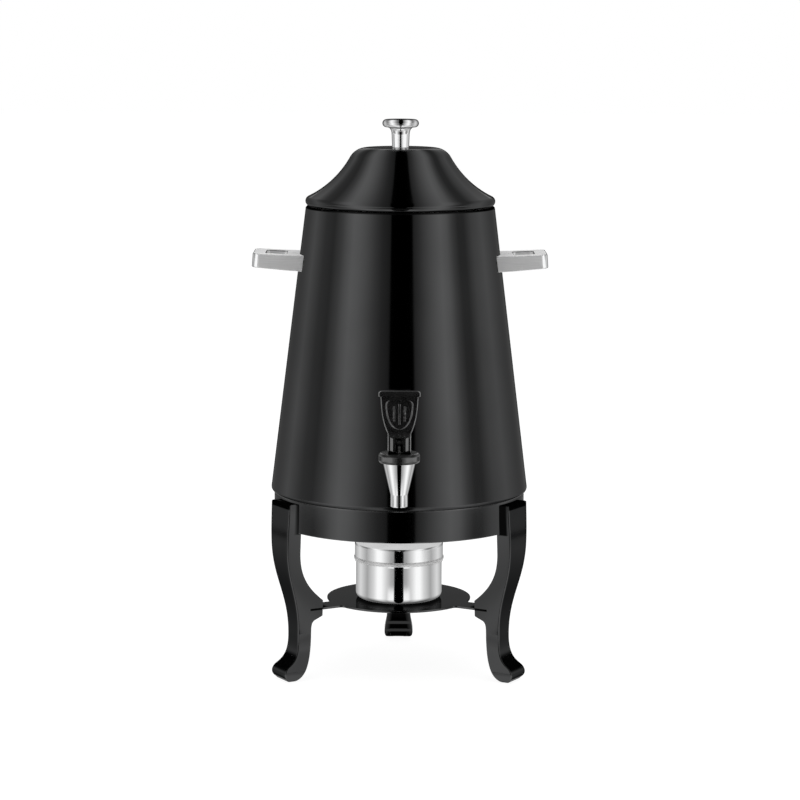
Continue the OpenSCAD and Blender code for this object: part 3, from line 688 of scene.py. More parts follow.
@dataclass(frozen=True)
class BlackPlastic:
    """Moulded black plastic with a polished skin."""

    name: str = "black_plastic"
    level: float = 0.012
    smooth: float = 0.03
    dull: float = 0.06
    gloss: float = 2.1
    wear: float = 0.5
    waver: tuple[float, float] = (0.8, 1.3)
    rubbed: float = 0.3
    relief: float = 0.000001

    def material(self) -> Material:
        """Black plastic with soft flow marks and paler handled edges; painted shade makes it mirror less
        where marked.

        Returns:
            The material.
        """
        g = Graph(self.name)
        tone = g.tone(g.noise(scale=90.0), self.level, self.waver)
        g.feed("Base Color", g.blend(g.worn(self.wear), tone, grey(self.rubbed)))
        g.feed("Roughness", g.spread(g.noise(scale=120.0, detail=5.0), self.smooth, self.dull))
        g.feed("IOR", self.gloss)
        # Painted shade: the marked points, the bonnet's round edges, lose their reflection
        g.feed("Specular Tint", g.blend(g.mark("seam"), grey(1.0), grey(0.0)))
        g.bump(g.noise(scale=700.0, detail=2.0), self.relief)
        return g.material


@dataclass(frozen=True)
class Silicone:
    """Soft grey sealing rubber."""

    name: str = "silicone"
    level: float = 0.5
    smooth: float = 0.42
    dull: float = 0.58
    waver: tuple[float, float] = (0.9, 1.08)
    warmth: float = 0.02
    milk: float = 0.15
    milk_depth: float = 0.002
    relief: float = 0.00001

    def material(self) -> Material:
        """Milky rubber with a fine matt skin.

        Returns:
            The material.
        """
        g = Graph(self.name)
        g.feed("Base Color", g.tone(g.noise(scale=120.0), self.level, self.waver, self.warmth))
        g.feed("Roughness", g.spread(g.noise(scale=500.0), self.smooth, self.dull))
        g.feed("Subsurface Weight", self.milk)
        g.feed("Subsurface Scale", self.milk_depth)
        g.bump(g.noise(scale=2200.0, detail=2.0), self.relief)
        return g.material


@dataclass
class Palette:
    """One material of each finish, shared by the pieces."""

    plating: Material
    plate: Material
    casting: Material
    polish: Material
    can_polish: Material
    tap_polish: Material
    satin: Material
    steel: Material
    tap_steel: Material
    plastic: Material
    collar: Material
    silicone: Material

    @staticmethod
    def mixed(tap_y: float) -> "Palette":
        """Makes the materials; those of the tap have their turning lines round the spout.

        Args:
            tap_y: Place of the spout's axis in millimetres.

        Returns:
            The materials by name.
        """
        spout = (0.0, tap_y * MM)
        finishes = {
            "plating": BlackPlating(),
            "plate": BlackPlating("black_plate", rim_tint=0.3, smooth=0.07, smudged=0.12),
            "casting": BlackPlating("black_casting", 0.065, 0.3, smooth=0.08, smudged=0.13, ripple=0.000009),
            "polish": Polish(),
            "can_polish": Polish("can_steel", rim_tint=0.7),
            "tap_polish": Polish("tap_chrome", at=spout),
            "satin": Satin(),
            "steel": PlainSteel(),
            "tap_steel": PlainSteel("tap_steel", 0.3, at=spout),
            "plastic": BlackPlastic(),
            "collar": BlackPlastic("black_collar", smooth=0.04, dull=0.07, gloss=2.0, wear=0.05),
            "silicone": Silicone()}
        return Palette(**{name: finish.material() for name, finish in finishes.items()})


# Pieces


@dataclass
class Tank:
    """Cone-shaped tank with a rolled foot and an inward lip."""

    foot_z: float = 183.5
    height: float = 289.0
    foot_r: float = 130.0
    mouth_r: float = 95.2
    wall: float = 1.2
    roll_r: float = 4.0
    flange_w: float = 7.0
    lip_w: float = 7.0
    lip_bend_r: float = 2.5
    # Share of the painted shade at the rolled foot, where the tank stands on the ring
    foot_shade: float = 0.5

    @property
    def mouth_z(self) -> float:
        """Height of the mouth."""
        return self.foot_z + self.height

    @property
    def roll_c(self) -> Array:
        """Middle of the rolled foot's arc."""
        return np.array([self.foot_r - self.roll_r, self.foot_z + self.roll_r])

    @property
    def lip_c(self) -> Array:
        """Middle of the lip's arc."""
        return np.array([self.mouth_r - self.lip_bend_r, self.mouth_z - self.lip_bend_r])

    @property
    def slope(self) -> float:
        """Lean of the wall: the common tangent of both arcs.

        Returns:
            Angle from the vertical in degrees.
        """
        run = self.lip_c - self.roll_c
        spare = math.asin((self.roll_r - self.lip_bend_r) / float(np.linalg.norm(run)))
        return math.degrees(math.atan2(-run[0], run[1]) + spare)

    def wall_r(self, z: Any) -> Any:
        """Radius of the outer face at a height: the tangent line of the rolled foot.

        Args:
            z: Height, or an array of heights, in millimetres.

        Returns:
            The radius at each height.
        """
        a = math.radians(self.slope)
        touch = self.roll_c + self.roll_r * np.array([math.cos(a), math.sin(a)])
        return touch[0] - (z - touch[1]) * math.tan(a)

    def build(self, looks: Palette) -> None:
        """Turns the wall: black outside, bare steel inside.

        Args:
            looks: The materials.
        """
        flange_r, lip_r = self.foot_r - self.roll_r - self.flange_w, self.mouth_r - self.lip_w
        outside = np.concatenate([
            [[flange_r, self.foot_z]], arc(self.roll_c, self.roll_r, -90, self.slope, 20),
            arc(self.lip_c, self.lip_bend_r, self.slope, 90, 12)])
        inside = np.concatenate([
            [[lip_r, self.mouth_z], [lip_r, self.mouth_z - self.wall]],
            arc(self.lip_c, self.lip_bend_r - self.wall, 90, self.slope, 8),
            arc(self.roll_c, self.roll_r - self.wall, self.slope, -90, 10),
            [[flange_r, self.foot_z + self.wall]]])
        line, part = sheet(outside, inside)
        # Painted shade at the rolled foot, on the ring, and under the lip, where the lid sits
        foot, lip = (line[:, 1] - self.foot_z) / self.roll_r, (self.mouth_z - line[:, 1]) / self.lip_bend_r
        seam = np.maximum(self.foot_shade * joint_shade(foot), joint_shade(lip))
        Piece("tank_wall", "urn", "black_sheet", ("tank_shell",), mirrored=False).make(
            lathe(line, 288, part=part, seam=seam), [looks.plating, looks.steel])


@dataclass
class Lid:
    """Bell lid of three arcs that run into each other, with a turned knob."""

    tank: Tank
    height: float = 58.4
    sheet_t: float = 1.0
    top_r: float = 34.4
    shoulder_r: float = 18.8
    sweep_r: float = 97.0
    nose_r: float = 5.0
    overhang: float = 0.2
    hem_r: float = 87.75
    screw_r: float = 3.1
    # Shifts the painted shade on the nose, where the lid meets the tank's lip
    shade_rise: float = 0.4
    knob_h: float = 28.3
    knob_r: float = 18.3
    rim_t: float = 8.0
    stem_r: float = 9.0
    stem_taper: float = 0.5
    stem_soft: float = 0.4
    flare_h: float = 7.0
    dish_w: float = 2.5
    dish_d: float = 0.4

    @property
    def top_z(self) -> float:
        """Height of the flat top."""
        return self.tank.mouth_z + self.height

    def bell(self, depth: float) -> Array:
        """Outline of the bell at a depth below its face.

        The sweep's circle touches the shoulder's and the nose's from outside, so its middle is where circles
        of radius sweep + shoulder and sweep + nose about their middles cross.

        Args:
            depth: Distance below the outer face in millimetres.

        Returns:
            Points from the flat top to the hem.
        """
        shoulder = np.array([self.top_r, self.top_z - self.shoulder_r])
        nose = np.array([self.tank.mouth_r + self.overhang - self.nose_r, self.tank.mouth_z + self.nose_r])
        span = nose - shoulder
        gap = float(np.linalg.norm(span))
        near, far = self.sweep_r + self.shoulder_r, self.sweep_r + self.nose_r
        along = (near**2 - far**2 + gap**2) / (2 * gap)
        aside = math.sqrt(near**2 - along**2)
        sweep = shoulder + (along * span + aside * np.array([-span[1], span[0]])) / gap
        a, b = (math.degrees(math.atan2(*(sweep - end)[::-1])) for end in (shoulder, nose))
        return np.concatenate([
            arc(shoulder, self.shoulder_r - depth, 90, a, 30),
            arc(sweep, self.sweep_r + depth, 180 + a, 180 + b, 50)[1:],
            arc(nose, self.nose_r - depth, b, -90, 30)[1:]])

    def build(self, looks: Palette) -> None:
        """Turns the bell and the knob.

        Args:
            looks: The materials.
        """
        mouth_z, top_z = self.tank.mouth_z, self.top_z
        outside = np.concatenate([self.bell(0.0)[::-1], [[self.screw_r, top_z]]])
        inside = np.concatenate([[[self.screw_r, top_z - self.sheet_t]], self.bell(self.sheet_t),
                                 [[self.hem_r, mouth_z + self.sheet_t], [self.hem_r, mouth_z]]])
        line, part = sheet(outside, inside)
        # Painted shade over the lower part of the nose, at the joint with the tank's lip
        seam = joint_shade((line[:, 1] - mouth_z) / self.nose_r + self.shade_rise)
        Piece("lid_bell", "lid", "black_sheet", ("lid_shell",), mirrored=False).make(
            lathe(line, 288, part=part, seam=seam), [looks.plating, looks.steel])
        Piece("lid_grip", "lid", "polished_steel", ("lid_knob",)).make(self.knob(), [looks.polish])

    def knob(self) -> Skin:
        """Knob: a stem that flares into a disc with a round rim and a slightly sunk top.

        Returns:
            The closed surface.
        """
        base, top, stem = self.top_z, self.top_z + self.knob_h, self.stem_r
        rim, disc, sunk = self.knob_r - self.rim_t / 2, top - self.rim_t, top - self.dish_d
        foot = stem - self.stem_taper
        line = np.concatenate([
            [[0.0, base], [foot - self.stem_soft, base], [foot, base + self.stem_soft]],
            bezier([stem, disc - self.flare_h], [stem + 0.2, disc - 3], [stem + 1.5, disc], [rim, disc], 24),
            arc((rim, top - self.rim_t / 2), self.rim_t / 2, -90, 90, 36)[1:],
            bezier([rim - self.dish_w, top], [rim - 2 * self.dish_w, top], [rim - 7, sunk], [0.0, sunk], 10)])
        return lathe(line, 160)


@dataclass
class Stand:
    """Ring on three cabriole legs, with a three-armed plate."""

    ring_z: float = 151.6
    ring_r: float = 127.0
    ring_h: float = 31.9
    ring_wall: float = 1.5
    ring_soft: float = 1.2
    fold_soft: float = 0.8
    cut_soft: float = 0.3
    seat_w: float = 9.0
    hem_w: float = 4.0
    plate_z: float = 72.2
    plate_r: float = 73.4
    plate_t: float = 2.0
    plate_soft: float = 0.7
    arm_w: float = 24.0
    arm_end: float = 108.9
    arm_fillet: float = 5.0
    arm_corner: float = 2.0
    slot_depth: float = 13.7
    # How far the painted shade reaches out from the ring on the right leg's post
    right_shade: float = 9.0

    def build(self, looks: Palette) -> None:
        """Makes the ring, the plate and the legs.

        Args:
            looks: The materials.
        """
        outer, low, high = self.ring_r, self.ring_z, self.ring_z + self.ring_h
        inner, seat, hem = outer - self.ring_wall, outer - self.seat_w, outer - self.hem_w
        roof, sill = high - self.ring_wall, low + self.ring_wall
        corners = [[outer, low], [outer, high], [seat, high], [seat, roof], [inner, roof], [inner, sill],
                   [hem, sill], [hem, low]]
        radii = np.repeat([self.ring_soft, self.cut_soft, self.fold_soft, self.cut_soft], 2)
        Piece("ring_band", "urn", "black_sheet", ("stand_ring",), mirrored=False).make(
            lathe(rounded(corners, radii), 288), [looks.plating])
        Piece("burner_plate", "urn", "black_sheet", ("fuel_plate",), mirrored=False).make(
            self.plate(), [looks.plate])
        for place in LegPlace:
            name = place.name.lower()
            leg = Leg(self, shade=self.right_shade) if place is LegPlace.RIGHT else Leg(self)
            Piece(f"cabriole_{name}", "urn", "black_casting", (f"leg_{name}",), mirrored=False).make(
                leg.skin().spun(place.value), [looks.casting], sharp=32.0)

    def plate_outline(self) -> Array:
        """Outline of the plate: a third of the disc with its arm, turned to each leg.

        Returns:
            Points of the closed outline.
        """
        half, fillet, corner, end = self.arm_w / 2, self.arm_fillet, self.arm_corner, self.arm_end
        centre = np.array([math.sqrt((self.plate_r + fillet) ** 2 - (half + fillet) ** 2), -half - fillet])
        touch = math.degrees(math.atan2(-centre[1], centre[0]))
        lower = np.concatenate([
            arc((0, 0), self.plate_r, -59.5, -touch, 36), arc(centre, fillet, 180 - touch, 90, 12)[1:],
            np.linspace([centre[0], -half], [end - corner, -half], 12)[1:],
            arc((end - corner, corner - half), corner, -90, 0, 4)[1:],
            np.linspace([end, corner + 1 - half], [end, -1], 6)])
        arm = np.concatenate([lower, lower[::-1] * [1, -1]])
        turns = np.radians([place.value for place in LegPlace])
        cos, sin = np.cos(turns), np.sin(turns)
        spin = np.stack([cos, -sin, sin, cos], axis=1).reshape(-1, 2, 2)
        return np.einsum("kij,nj->kni", spin, arm).reshape(-1, 2)

    def plate(self) -> Skin:
        """Plate: its outline is shrunk towards the middle for the faces, and its rim is a half-round edge.

        Returns:
            The closed surface, row by row from the middle of the top to the middle of the underside.
        """
        outline = self.plate_outline()
        ahead = np.roll(outline, -1, axis=0) - np.roll(outline, 1, axis=0)
        out = np.stack([ahead[:, 1], -ahead[:, 0]], axis=1) / np.linalg.norm(ahead, axis=1)[:, None]
        face, t = np.array([0.0, 0.2, 0.4, 0.6, 0.8, 0.92]), np.radians(np.linspace(90, 0, 6))
        scale = np.concatenate([face, np.ones(len(t))])
        inset = self.plate_soft * np.concatenate([np.ones(len(face)), 1 - np.cos(t)])
        drop = self.plate_soft * np.concatenate([np.zeros(len(face)), 1 - np.sin(t)])
        scale, inset = (np.concatenate([rows, rows[::-1]])[:, None, None] for rows in (scale, inset))
        level = self.plate_z - np.concatenate([drop, self.plate_t - drop[::-1]])[:, None, None]
        flat = scale * (outline - inset * out)
        grid = np.concatenate([flat, np.broadcast_to(level, flat.shape[:2] + (1,))], axis=-1)
        # Painted shade on the arms' ends, where they go into the legs' slots
        in_slot = np.clip(np.linalg.norm(flat, axis=-1) - self.arm_end + self.slot_depth, 0, 1)
        return Skin.of_grid(grid, bend(grid, False), False, seam=in_slot)


@dataclass
class Leg:
    """Cast channel leg, drawn on +X with radii from the tank's axis and heights from the table.

    The shade is how far the painted shade at the ring reaches out along the post. The toe's painted shade
    starts, is full, fades and ends at the heights in toe_shade, and the post's starts and is full at the
    drops in top_shade.
    """

    stand: Stand
    post_t: float = 9.5
    post_w: float = 39.0
    post_drop: float = 2.0
    knee_bulge: float = 1.5
    knee_drop: float = 12.0
    sway: float = 0.41
    ankle_draw: float = 15.3
    ankle_t: float = 15.0
    ankle_w: float = 22.0
    ankle_drop: float = 15.0
    toe_reach: float = 12.48
    toe_h: float = 15.3
    toe_tip: float = 4.5
    foot_w: float = 30.0
    sole_l: float = 6.5
    sole_in: float = 5.5
    web_t: float = 5.0
    cheek_t: float = 5.5
    rib_t: float = 3.0
    rib_pitch: float = 9.3
    tab_reach: float = 12.5
    tab_h: float = 16.0
    tab_floor: float = 6.0
    tab_roof: float = 8.0
    slip: float = 0.3
    seat_gap: float = 0.15
    soft: float = 1.5
    top_soft: float = 1.2
    sole_soft: float = 0.8
    shade: float = 2.5
    most_shade: float = 0.9
    toe_shade: tuple[float, ...] = (11.0, 13.5, 24.0, 29.0)
    top_shade: tuple[float, float] = (5.0, 4.0)

    @property
    def top(self) -> float:
        """Height of the post's upper end."""
        return self.stand.ring_z + self.stand.ring_h - self.post_drop

    @property
    def tab(self) -> tuple[float, float]:
        """Heights of the tab's lower and upper face."""
        return self.stand.plate_z - self.tab_h / 2, self.stand.plate_z + self.tab_h / 2

    @property
    def slit(self) -> tuple[float, float]:
        """Heights between which the plate's arm goes into the tab."""
        return self.stand.plate_z - self.stand.plate_t, self.stand.plate_z + self.slip

    @property
    def bays(self) -> Array:
        """Hollows of the channel, split by the two ribs and the tab.

        Returns:
            Height of the lower and the upper end of each hollow.
        """
        ribs = self.rib_pitch * np.array([1, 1, 2, 2]) + self.rib_t / 2 * np.array([-1, 1, -1, 1])
        under, knee_z = -5.0, self.stand.ring_z - self.knee_drop
        floor, roof = self.tab[0] - self.tab_floor, self.tab[1] + self.tab_roof
        return np.array([under, *ribs, floor, roof, knee_z]).reshape(4, 2)

    def lines(self, z: Array) -> tuple[Array, Array, Array]:
        """Outer radius, inner radius and half width at heights, read off the leg's three curves.

        The curves' handles lie beside the points that they belong to.

        Args:
            z: Heights in millimetres, rising.

        Returns:
            The three values at each height.
        """
        ring, top, toe_h = self.stand, self.top, self.toe_h
        low, high = self.tab
        post, ledge, toe = ring.ring_r + self.post_t, ring.ring_r - ring.hem_w, ring.ring_r + self.toe_reach
        knee, knee_z = post + self.knee_bulge, ring.ring_z - self.knee_drop
        ankle, ankle_z = knee - self.ankle_draw, low - self.ankle_drop
        shin, sole = ankle - self.ankle_t, toe - self.sole_in
        tab, sway = shin - self.tab_reach, self.sway * (knee_z - ankle_z)
        tip, swell = np.array([toe - self.toe_tip, toe_h]), post + self.knee_bulge / 2
        outer = np.concatenate([
            bezier([post, top], [swell, ring.ring_z + 10], [knee, knee_z + 14], [knee, knee_z]),
            bezier([knee, knee_z], [knee, knee_z - sway], [ankle, ankle_z + sway], [ankle, ankle_z])[1:],
            bezier([ankle, ankle_z - 6], [ankle, toe_h + 9], tip + [-7, 4.6], tip),
            bezier(tip, tip + [3.7, -2.4], [toe + 2.4, toe_h * 0.43], [toe - 3.5, toe_h * 0.14])[1:],
            [[sole, 0.0]]])[::-1]
        inner = np.concatenate([
            bezier([sole - self.sole_l, 0], [shin + 7.5, 4], [shin, 24], [shin, ankle_z]),
            bezier([shin, ankle_z], [shin, low - 5], [shin - 2, low - 4.5], [shin - 6.5, low - 2.7])[1:],
            [[tab, low]],
            bezier([tab, high], [shin + 6.3, high + 15], [ledge, high + 29], [ledge, ring.ring_z - 18]),
            [[ledge, top]]])
        p, a, f = self.post_w / 2, self.ankle_w / 2, self.foot_w / 2
        half = np.concatenate([
            bezier([p, top], [p - 0.3, top - 41], [a + 1.5, ankle_z + 37], [a, ankle_z - 2]),
            bezier([a, ankle_z - 2], [a, ankle_z - 18], [f - 1, toe_h + 3], [f, toe_h * 0.65])[1:],
            bezier([f, toe_h * 0.65], [f + 0.3, toe_h * 0.25], [f - 1, toe_h * 0.06], [f - 3, 0])[1:]])[::-1]
        return tuple(np.interp(z, line[:, 1], line[:, 0]) for line in (outer, inner, half))

    def heights(self) -> Array:
        """Heights of the sections: closer together where the leg curves, and in pairs at each step.

        Returns:
            Heights in millimetres, rising.
        """
        toe, ankle, tab = 16, 60, 84
        crown = self.top - self.top_soft * (1 - np.sin(np.linspace(-0.6, np.pi / 2, 9)))
        even = np.concatenate([
            np.linspace(0, toe, 60), np.linspace(toe, ankle, 70), np.linspace(ankle, tab, 40),
            np.linspace(tab, self.top - 2, 90), crown])
        steps = np.concatenate([self.bays.ravel()[1:], self.slit, [self.stand.ring_z]])
        return with_steps(even, steps, 0.002)

    def painted_dark(self, x: Array, z: Array, bay: Array, outer: int) -> Array:
        """Share of painted shade: in the channel, where the post meets the ring, over the toe and at the
        post's top.

        Args:
            x: Radii of the points, of shape (sections, points).
            z: Height of each section.
            bay: Whether a section has a hollow.
            outer: Number of points on the outside of a section.

        Returns:
            Share from 0 to 1 at each point.
        """
        ring, column, most = self.stand, np.arange(x.shape[1]), self.most_shade
        # Painted shade: the channel's hollows, the post beside the ring, the toe and the post's top
        hollow = bay & (column >= outer)
        touching = np.clip((ring.ring_r + self.shade - x) / 2, 0, 1) * (z > ring.ring_z - 1)
        over_toe = np.interp(z, self.toe_shade, [0, most, most, 0])
        at_top = np.interp(z, self.top - np.array(self.top_shade), [0, most])
        # The outer face, from the middle of its left corner to the middle of its right one
        outward = (column >= 9) & (column < outer - 8)
        return np.maximum(np.maximum(hollow, touching), (over_toe + at_top) * outward)

    def skin(self) -> Skin:
        """Loft of level sections: a U open to the inside, closed by ribs, tab and post.

        Each section runs from the left rim round the outer face to the right rim, then back along the
        channel. Its corners are quarter circles, and pairs of sections at the same height make the steps.

        Returns:
            The closed surface.
        """
        ring, slit, bays = self.stand, self.slit, self.bays
        z = self.heights()[:, None]
        rho_out, rho_in, half = (value[:, None] for value in self.lines(z[:, 0]))
        trim = round_off(z - self.top + self.top_soft, self.top_soft)
        trim = trim + round_off(self.sole_soft - z, self.sole_soft)
        rho_out, half = rho_out - trim, half - trim
        inner = np.where((z > slit[0]) & (z < slit[1]), np.maximum(rho_in, ring.arm_end + self.slip), rho_in)
        bay = ((z > bays[:, 0]) & (z < bays[:, 1])).any(axis=1, keepdims=True)
        soft = np.minimum(self.soft, (rho_out - inner) / 3)
        t = np.radians(np.linspace(0, 90, 7))[None]
        wall = inner + np.linspace(0, 1, 6)[None] * (rho_out - soft - inner)
        corner, face = rho_out - soft + soft * np.sin(t), np.repeat(rho_out, 9, axis=1)
        x_out = np.concatenate([wall, corner[:, 1:], face, corner[:, -2::-1], wall[:, -2::-1]], axis=1)
        edge_y, wide = half - soft + soft * np.cos(t), np.repeat(half, 6, axis=1)
        flat_y = (half - soft) * np.linspace(-1, 1, 11)[None, 1:-1]
        y_out = np.concatenate([-wide, -edge_y[:, 1:], flat_y, edge_y[:, -2::-1], wide[:, 1:]], axis=1)
        floor = np.where(bay, np.maximum(rho_out - self.web_t, inner), inner)
        sink, aside = np.array([0.0, 0.5, 0.9, 0.98, 1.0, 1.0]), np.array([1.0, 1.0, 1.0, 0.97, 0.9, 0.5])
        deep, across = np.concatenate([sink, [1.0], sink[::-1]]), np.concatenate([aside, [0.0], -aside[::-1]])
        x = np.concatenate([x_out, inner + deep * (floor - inner)], axis=1)
        y = np.concatenate([y_out, np.maximum(half - self.cheek_t, 1.0) * across], axis=1)
        seat = np.sqrt((ring.ring_r + self.seat_gap) ** 2 - y**2)
        x = np.where(z > ring.ring_z, np.maximum(x, seat), x)
        return loft(x, y, z, self.painted_dark(x, z, bay, x_out.shape[1]))


@dataclass
class FuelCup:
    """Round can with a slip lid that has a bead round its lower edge."""

    plate_z: float
    radius: float = 43.9
    height: float = 55.6
    sheet_t: float = 0.9
    edge_r: float = 6.0
    rim_r: float = 0.4
    lid_h: float = 18.8
    lid_edge_r: float = 1.6
    bead_h: float = 6.7
    bead_out: float = 0.8
    slip: float = 0.3
    # Painted shade round the can's foot: its share, the height where it starts and how far it fades
    contact_shade: float = 0.95
    contact_h: float = 5.4
    contact_fade: float = 3.6

    def build(self, looks: Palette) -> None:
        """Turns the can and its lid.

        Args:
            looks: The materials.
        """
        low, top, rim = self.plate_z, self.plate_z + self.height, self.rim_r
        c = (self.radius - self.edge_r, low + self.edge_r)
        can = np.concatenate([
            [[0.0, low]], arc(c, self.edge_r, -90, 0, 18),
            arc((self.radius - rim, top - rim), rim, 0, 180, 8),
            arc(c, self.edge_r - self.sheet_t, 0, -90, 12), [[0.0, low + self.sheet_t]]])
        # Painted shade round the can's foot, where it stands on the plate
        seam = self.contact_shade * np.clip((low + self.contact_h - can[:, 1]) / self.contact_fade, 0, 1)
        Piece("burner_can", "fuel_cup", "polished_steel", ("fuel_cup",)).make(
            lathe(can, 224, seam=seam), [looks.can_polish])
        lid, part = self.lid(top)
        Piece("burner_lid", "fuel_lid", "polished_steel", ("fuel_cup_lid",)).make(
            lathe(lid, 224, part=part), [looks.can_polish, looks.satin])

    def lid(self, top: float) -> tuple[Array, Array]:
        """Outline of the lid.

        Args:
            top: Height of the can's rim.

        Returns:
            Points of the outline, and a finish for each stretch: 1 on the bead and 0 on the rest.
        """
        inner, rim, edge, half = self.radius + self.slip, self.rim_r, self.lid_edge_r, self.bead_h / 2
        outer, lid_top = inner + self.sheet_t, top + self.sheet_t
        base = lid_top - self.lid_h
        swell = math.degrees(math.acos((half - self.bead_out) / half))
        inside = [[0.0, top], [inner - rim, top], [inner, top - rim], [inner, base], [outer - 0.3, base]]
        bead = arc((outer + self.bead_out - half, base + half), half, -swell, swell, 16)
        shoulder = arc((outer - edge, lid_top - edge), edge, 0, 90, 10)
        line = np.concatenate([inside, bead, shoulder, [[0.0, lid_top]]])
        part = np.zeros(len(line), int)
        part[len(inside):len(inside) + len(bead) - 1] = 1
        return line, part


@dataclass
class Handle:
    """Flat loop that tilts up, saddled on the tank's wall."""

    tank: Tank
    side: Side
    z: float = 416.5
    reach: float = 46.0
    width: float = 62.0
    root_h: float = 16.0
    end_h: float = 13.8
    bar: float = 12.8
    corner_r: float = 7.0
    hole_r: float = 3.0
    # Share of the painted shade round the hole's upper rim
    hole_shade: float = 0.9
    tilt: float = 4.0
    soft: float = 0.9
    gap: float = 0.15

    @staticmethod
    def box_loop(near: Array, far: Array, half: Array, near_r: Array, far_r: Array) -> Array:
        """Rounded rectangle between two x values and two y values, for many sizes at once.

        Args:
            near: Lowest x of each loop.
            far: Highest x of each loop.
            half: Half width of each loop.
            near_r: Corner radius at the low end.
            far_r: Corner radius at the high end.

        Returns:
            Points of shape (loops, points, 2), in the same order for every loop.
        """
        near, far, half, near_r, far_r = (value[:, None] for value in (near, far, half, near_r, far_r))
        t, side = np.radians(np.linspace(0, 90, 8))[None], np.linspace(-1, 1, 16)[None, 1:-1]
        along, start, end = np.linspace(0, 1, 14)[None, 1:-1], near + near_r, far - far_r
        cos, sin, flat = np.cos(t), np.sin(t), np.ones(side.shape)
        x = np.concatenate([
            far * flat, end + far_r * cos, end + along * (start - end), start - near_r * sin,
            near * flat, start - near_r * cos, start + along * (end - start), end + far_r * sin], axis=1)
        wide, narrow, level = half - far_r, half - near_r, half * np.ones(along.shape)
        y = np.concatenate([
            wide * side, wide + far_r * sin, level, narrow + near_r * cos,
            -narrow * side, -narrow - near_r * sin, -level, -wide - far_r * cos], axis=1)
        return np.stack([x, y], axis=-1)

    def skin(self) -> Skin:
        """Section carried round the finger hole: hole wall, upper face, outer wall and lower face, with
        quarter-round edges. Near the tank, points move out to its cone, so that the root is saddled on it.
        The outer end is polished, and a line of painted shade goes round the hole's upper rim.

        Returns:
            The closed surface.
        """
        t = np.radians(np.linspace(0, 90, 6))
        rows, half, bar = len(t), self.width / 2, self.bar
        grow, drop = self.soft * (1 - np.cos(t)), self.soft * (1 - np.sin(t))
        e, sink = np.concatenate([grow, grow[::-1]]), np.tile(np.concatenate([drop, drop[::-1]]), 2)[:, None]
        hole = self.box_loop(bar - e, self.reach - bar + e, half - bar + e, self.hole_r + e, self.hole_r + e)
        outer = self.box_loop(0 * e, self.reach - e, half - e, 0 * e, self.corner_r - e)
        loops = np.concatenate([hole[:rows], outer[rows:], outer[:rows], hole[rows:]])
        sign = np.repeat([1.0, -1.0], 2 * rows)[:, None]
        x, y = loops[..., 0], loops[..., 1]
        z = sign * ((self.root_h + (self.end_h - self.root_h) * x / self.reach) / 2 - sink)
        c, s = math.cos(math.radians(self.tilt)), math.sin(math.radians(self.tilt))
        root, up = self.tank.wall_r(self.z), self.z + x * s + z * c
        saddle = np.sqrt((self.tank.wall_r(up) + self.gap) ** 2 - y**2) - (root - z * s)
        out = root + x * c - z * s + saddle * np.clip(1 - x / bar, 0, 1)
        grid = np.stack([out, y, up], axis=-1)
        part, seam = np.zeros(x.shape, int), np.zeros(x.shape)
        # Columns of the outer end and of most of its two corners
        polished = np.r_[0:20, -7:0]
        part[rows:3 * rows - 1, polished] = 1
        # Painted shade: a line round the finger hole's upper rim
        seam[1:rows - 1] = self.hole_shade
        return Skin.of_grid(grid, bend(grid, True), True, part, seam)

    def build(self, looks: Palette) -> None:
        """Makes the handle on its side of the tank.

        Args:
            looks: The materials.
        """
        name = self.side.name.lower()
        Piece(f"grip_{name}", "urn", "polished_steel", (f"handle_{name}",), mirrored=False).make(
            self.skin().spun(self.side.value), [looks.satin, looks.polish])


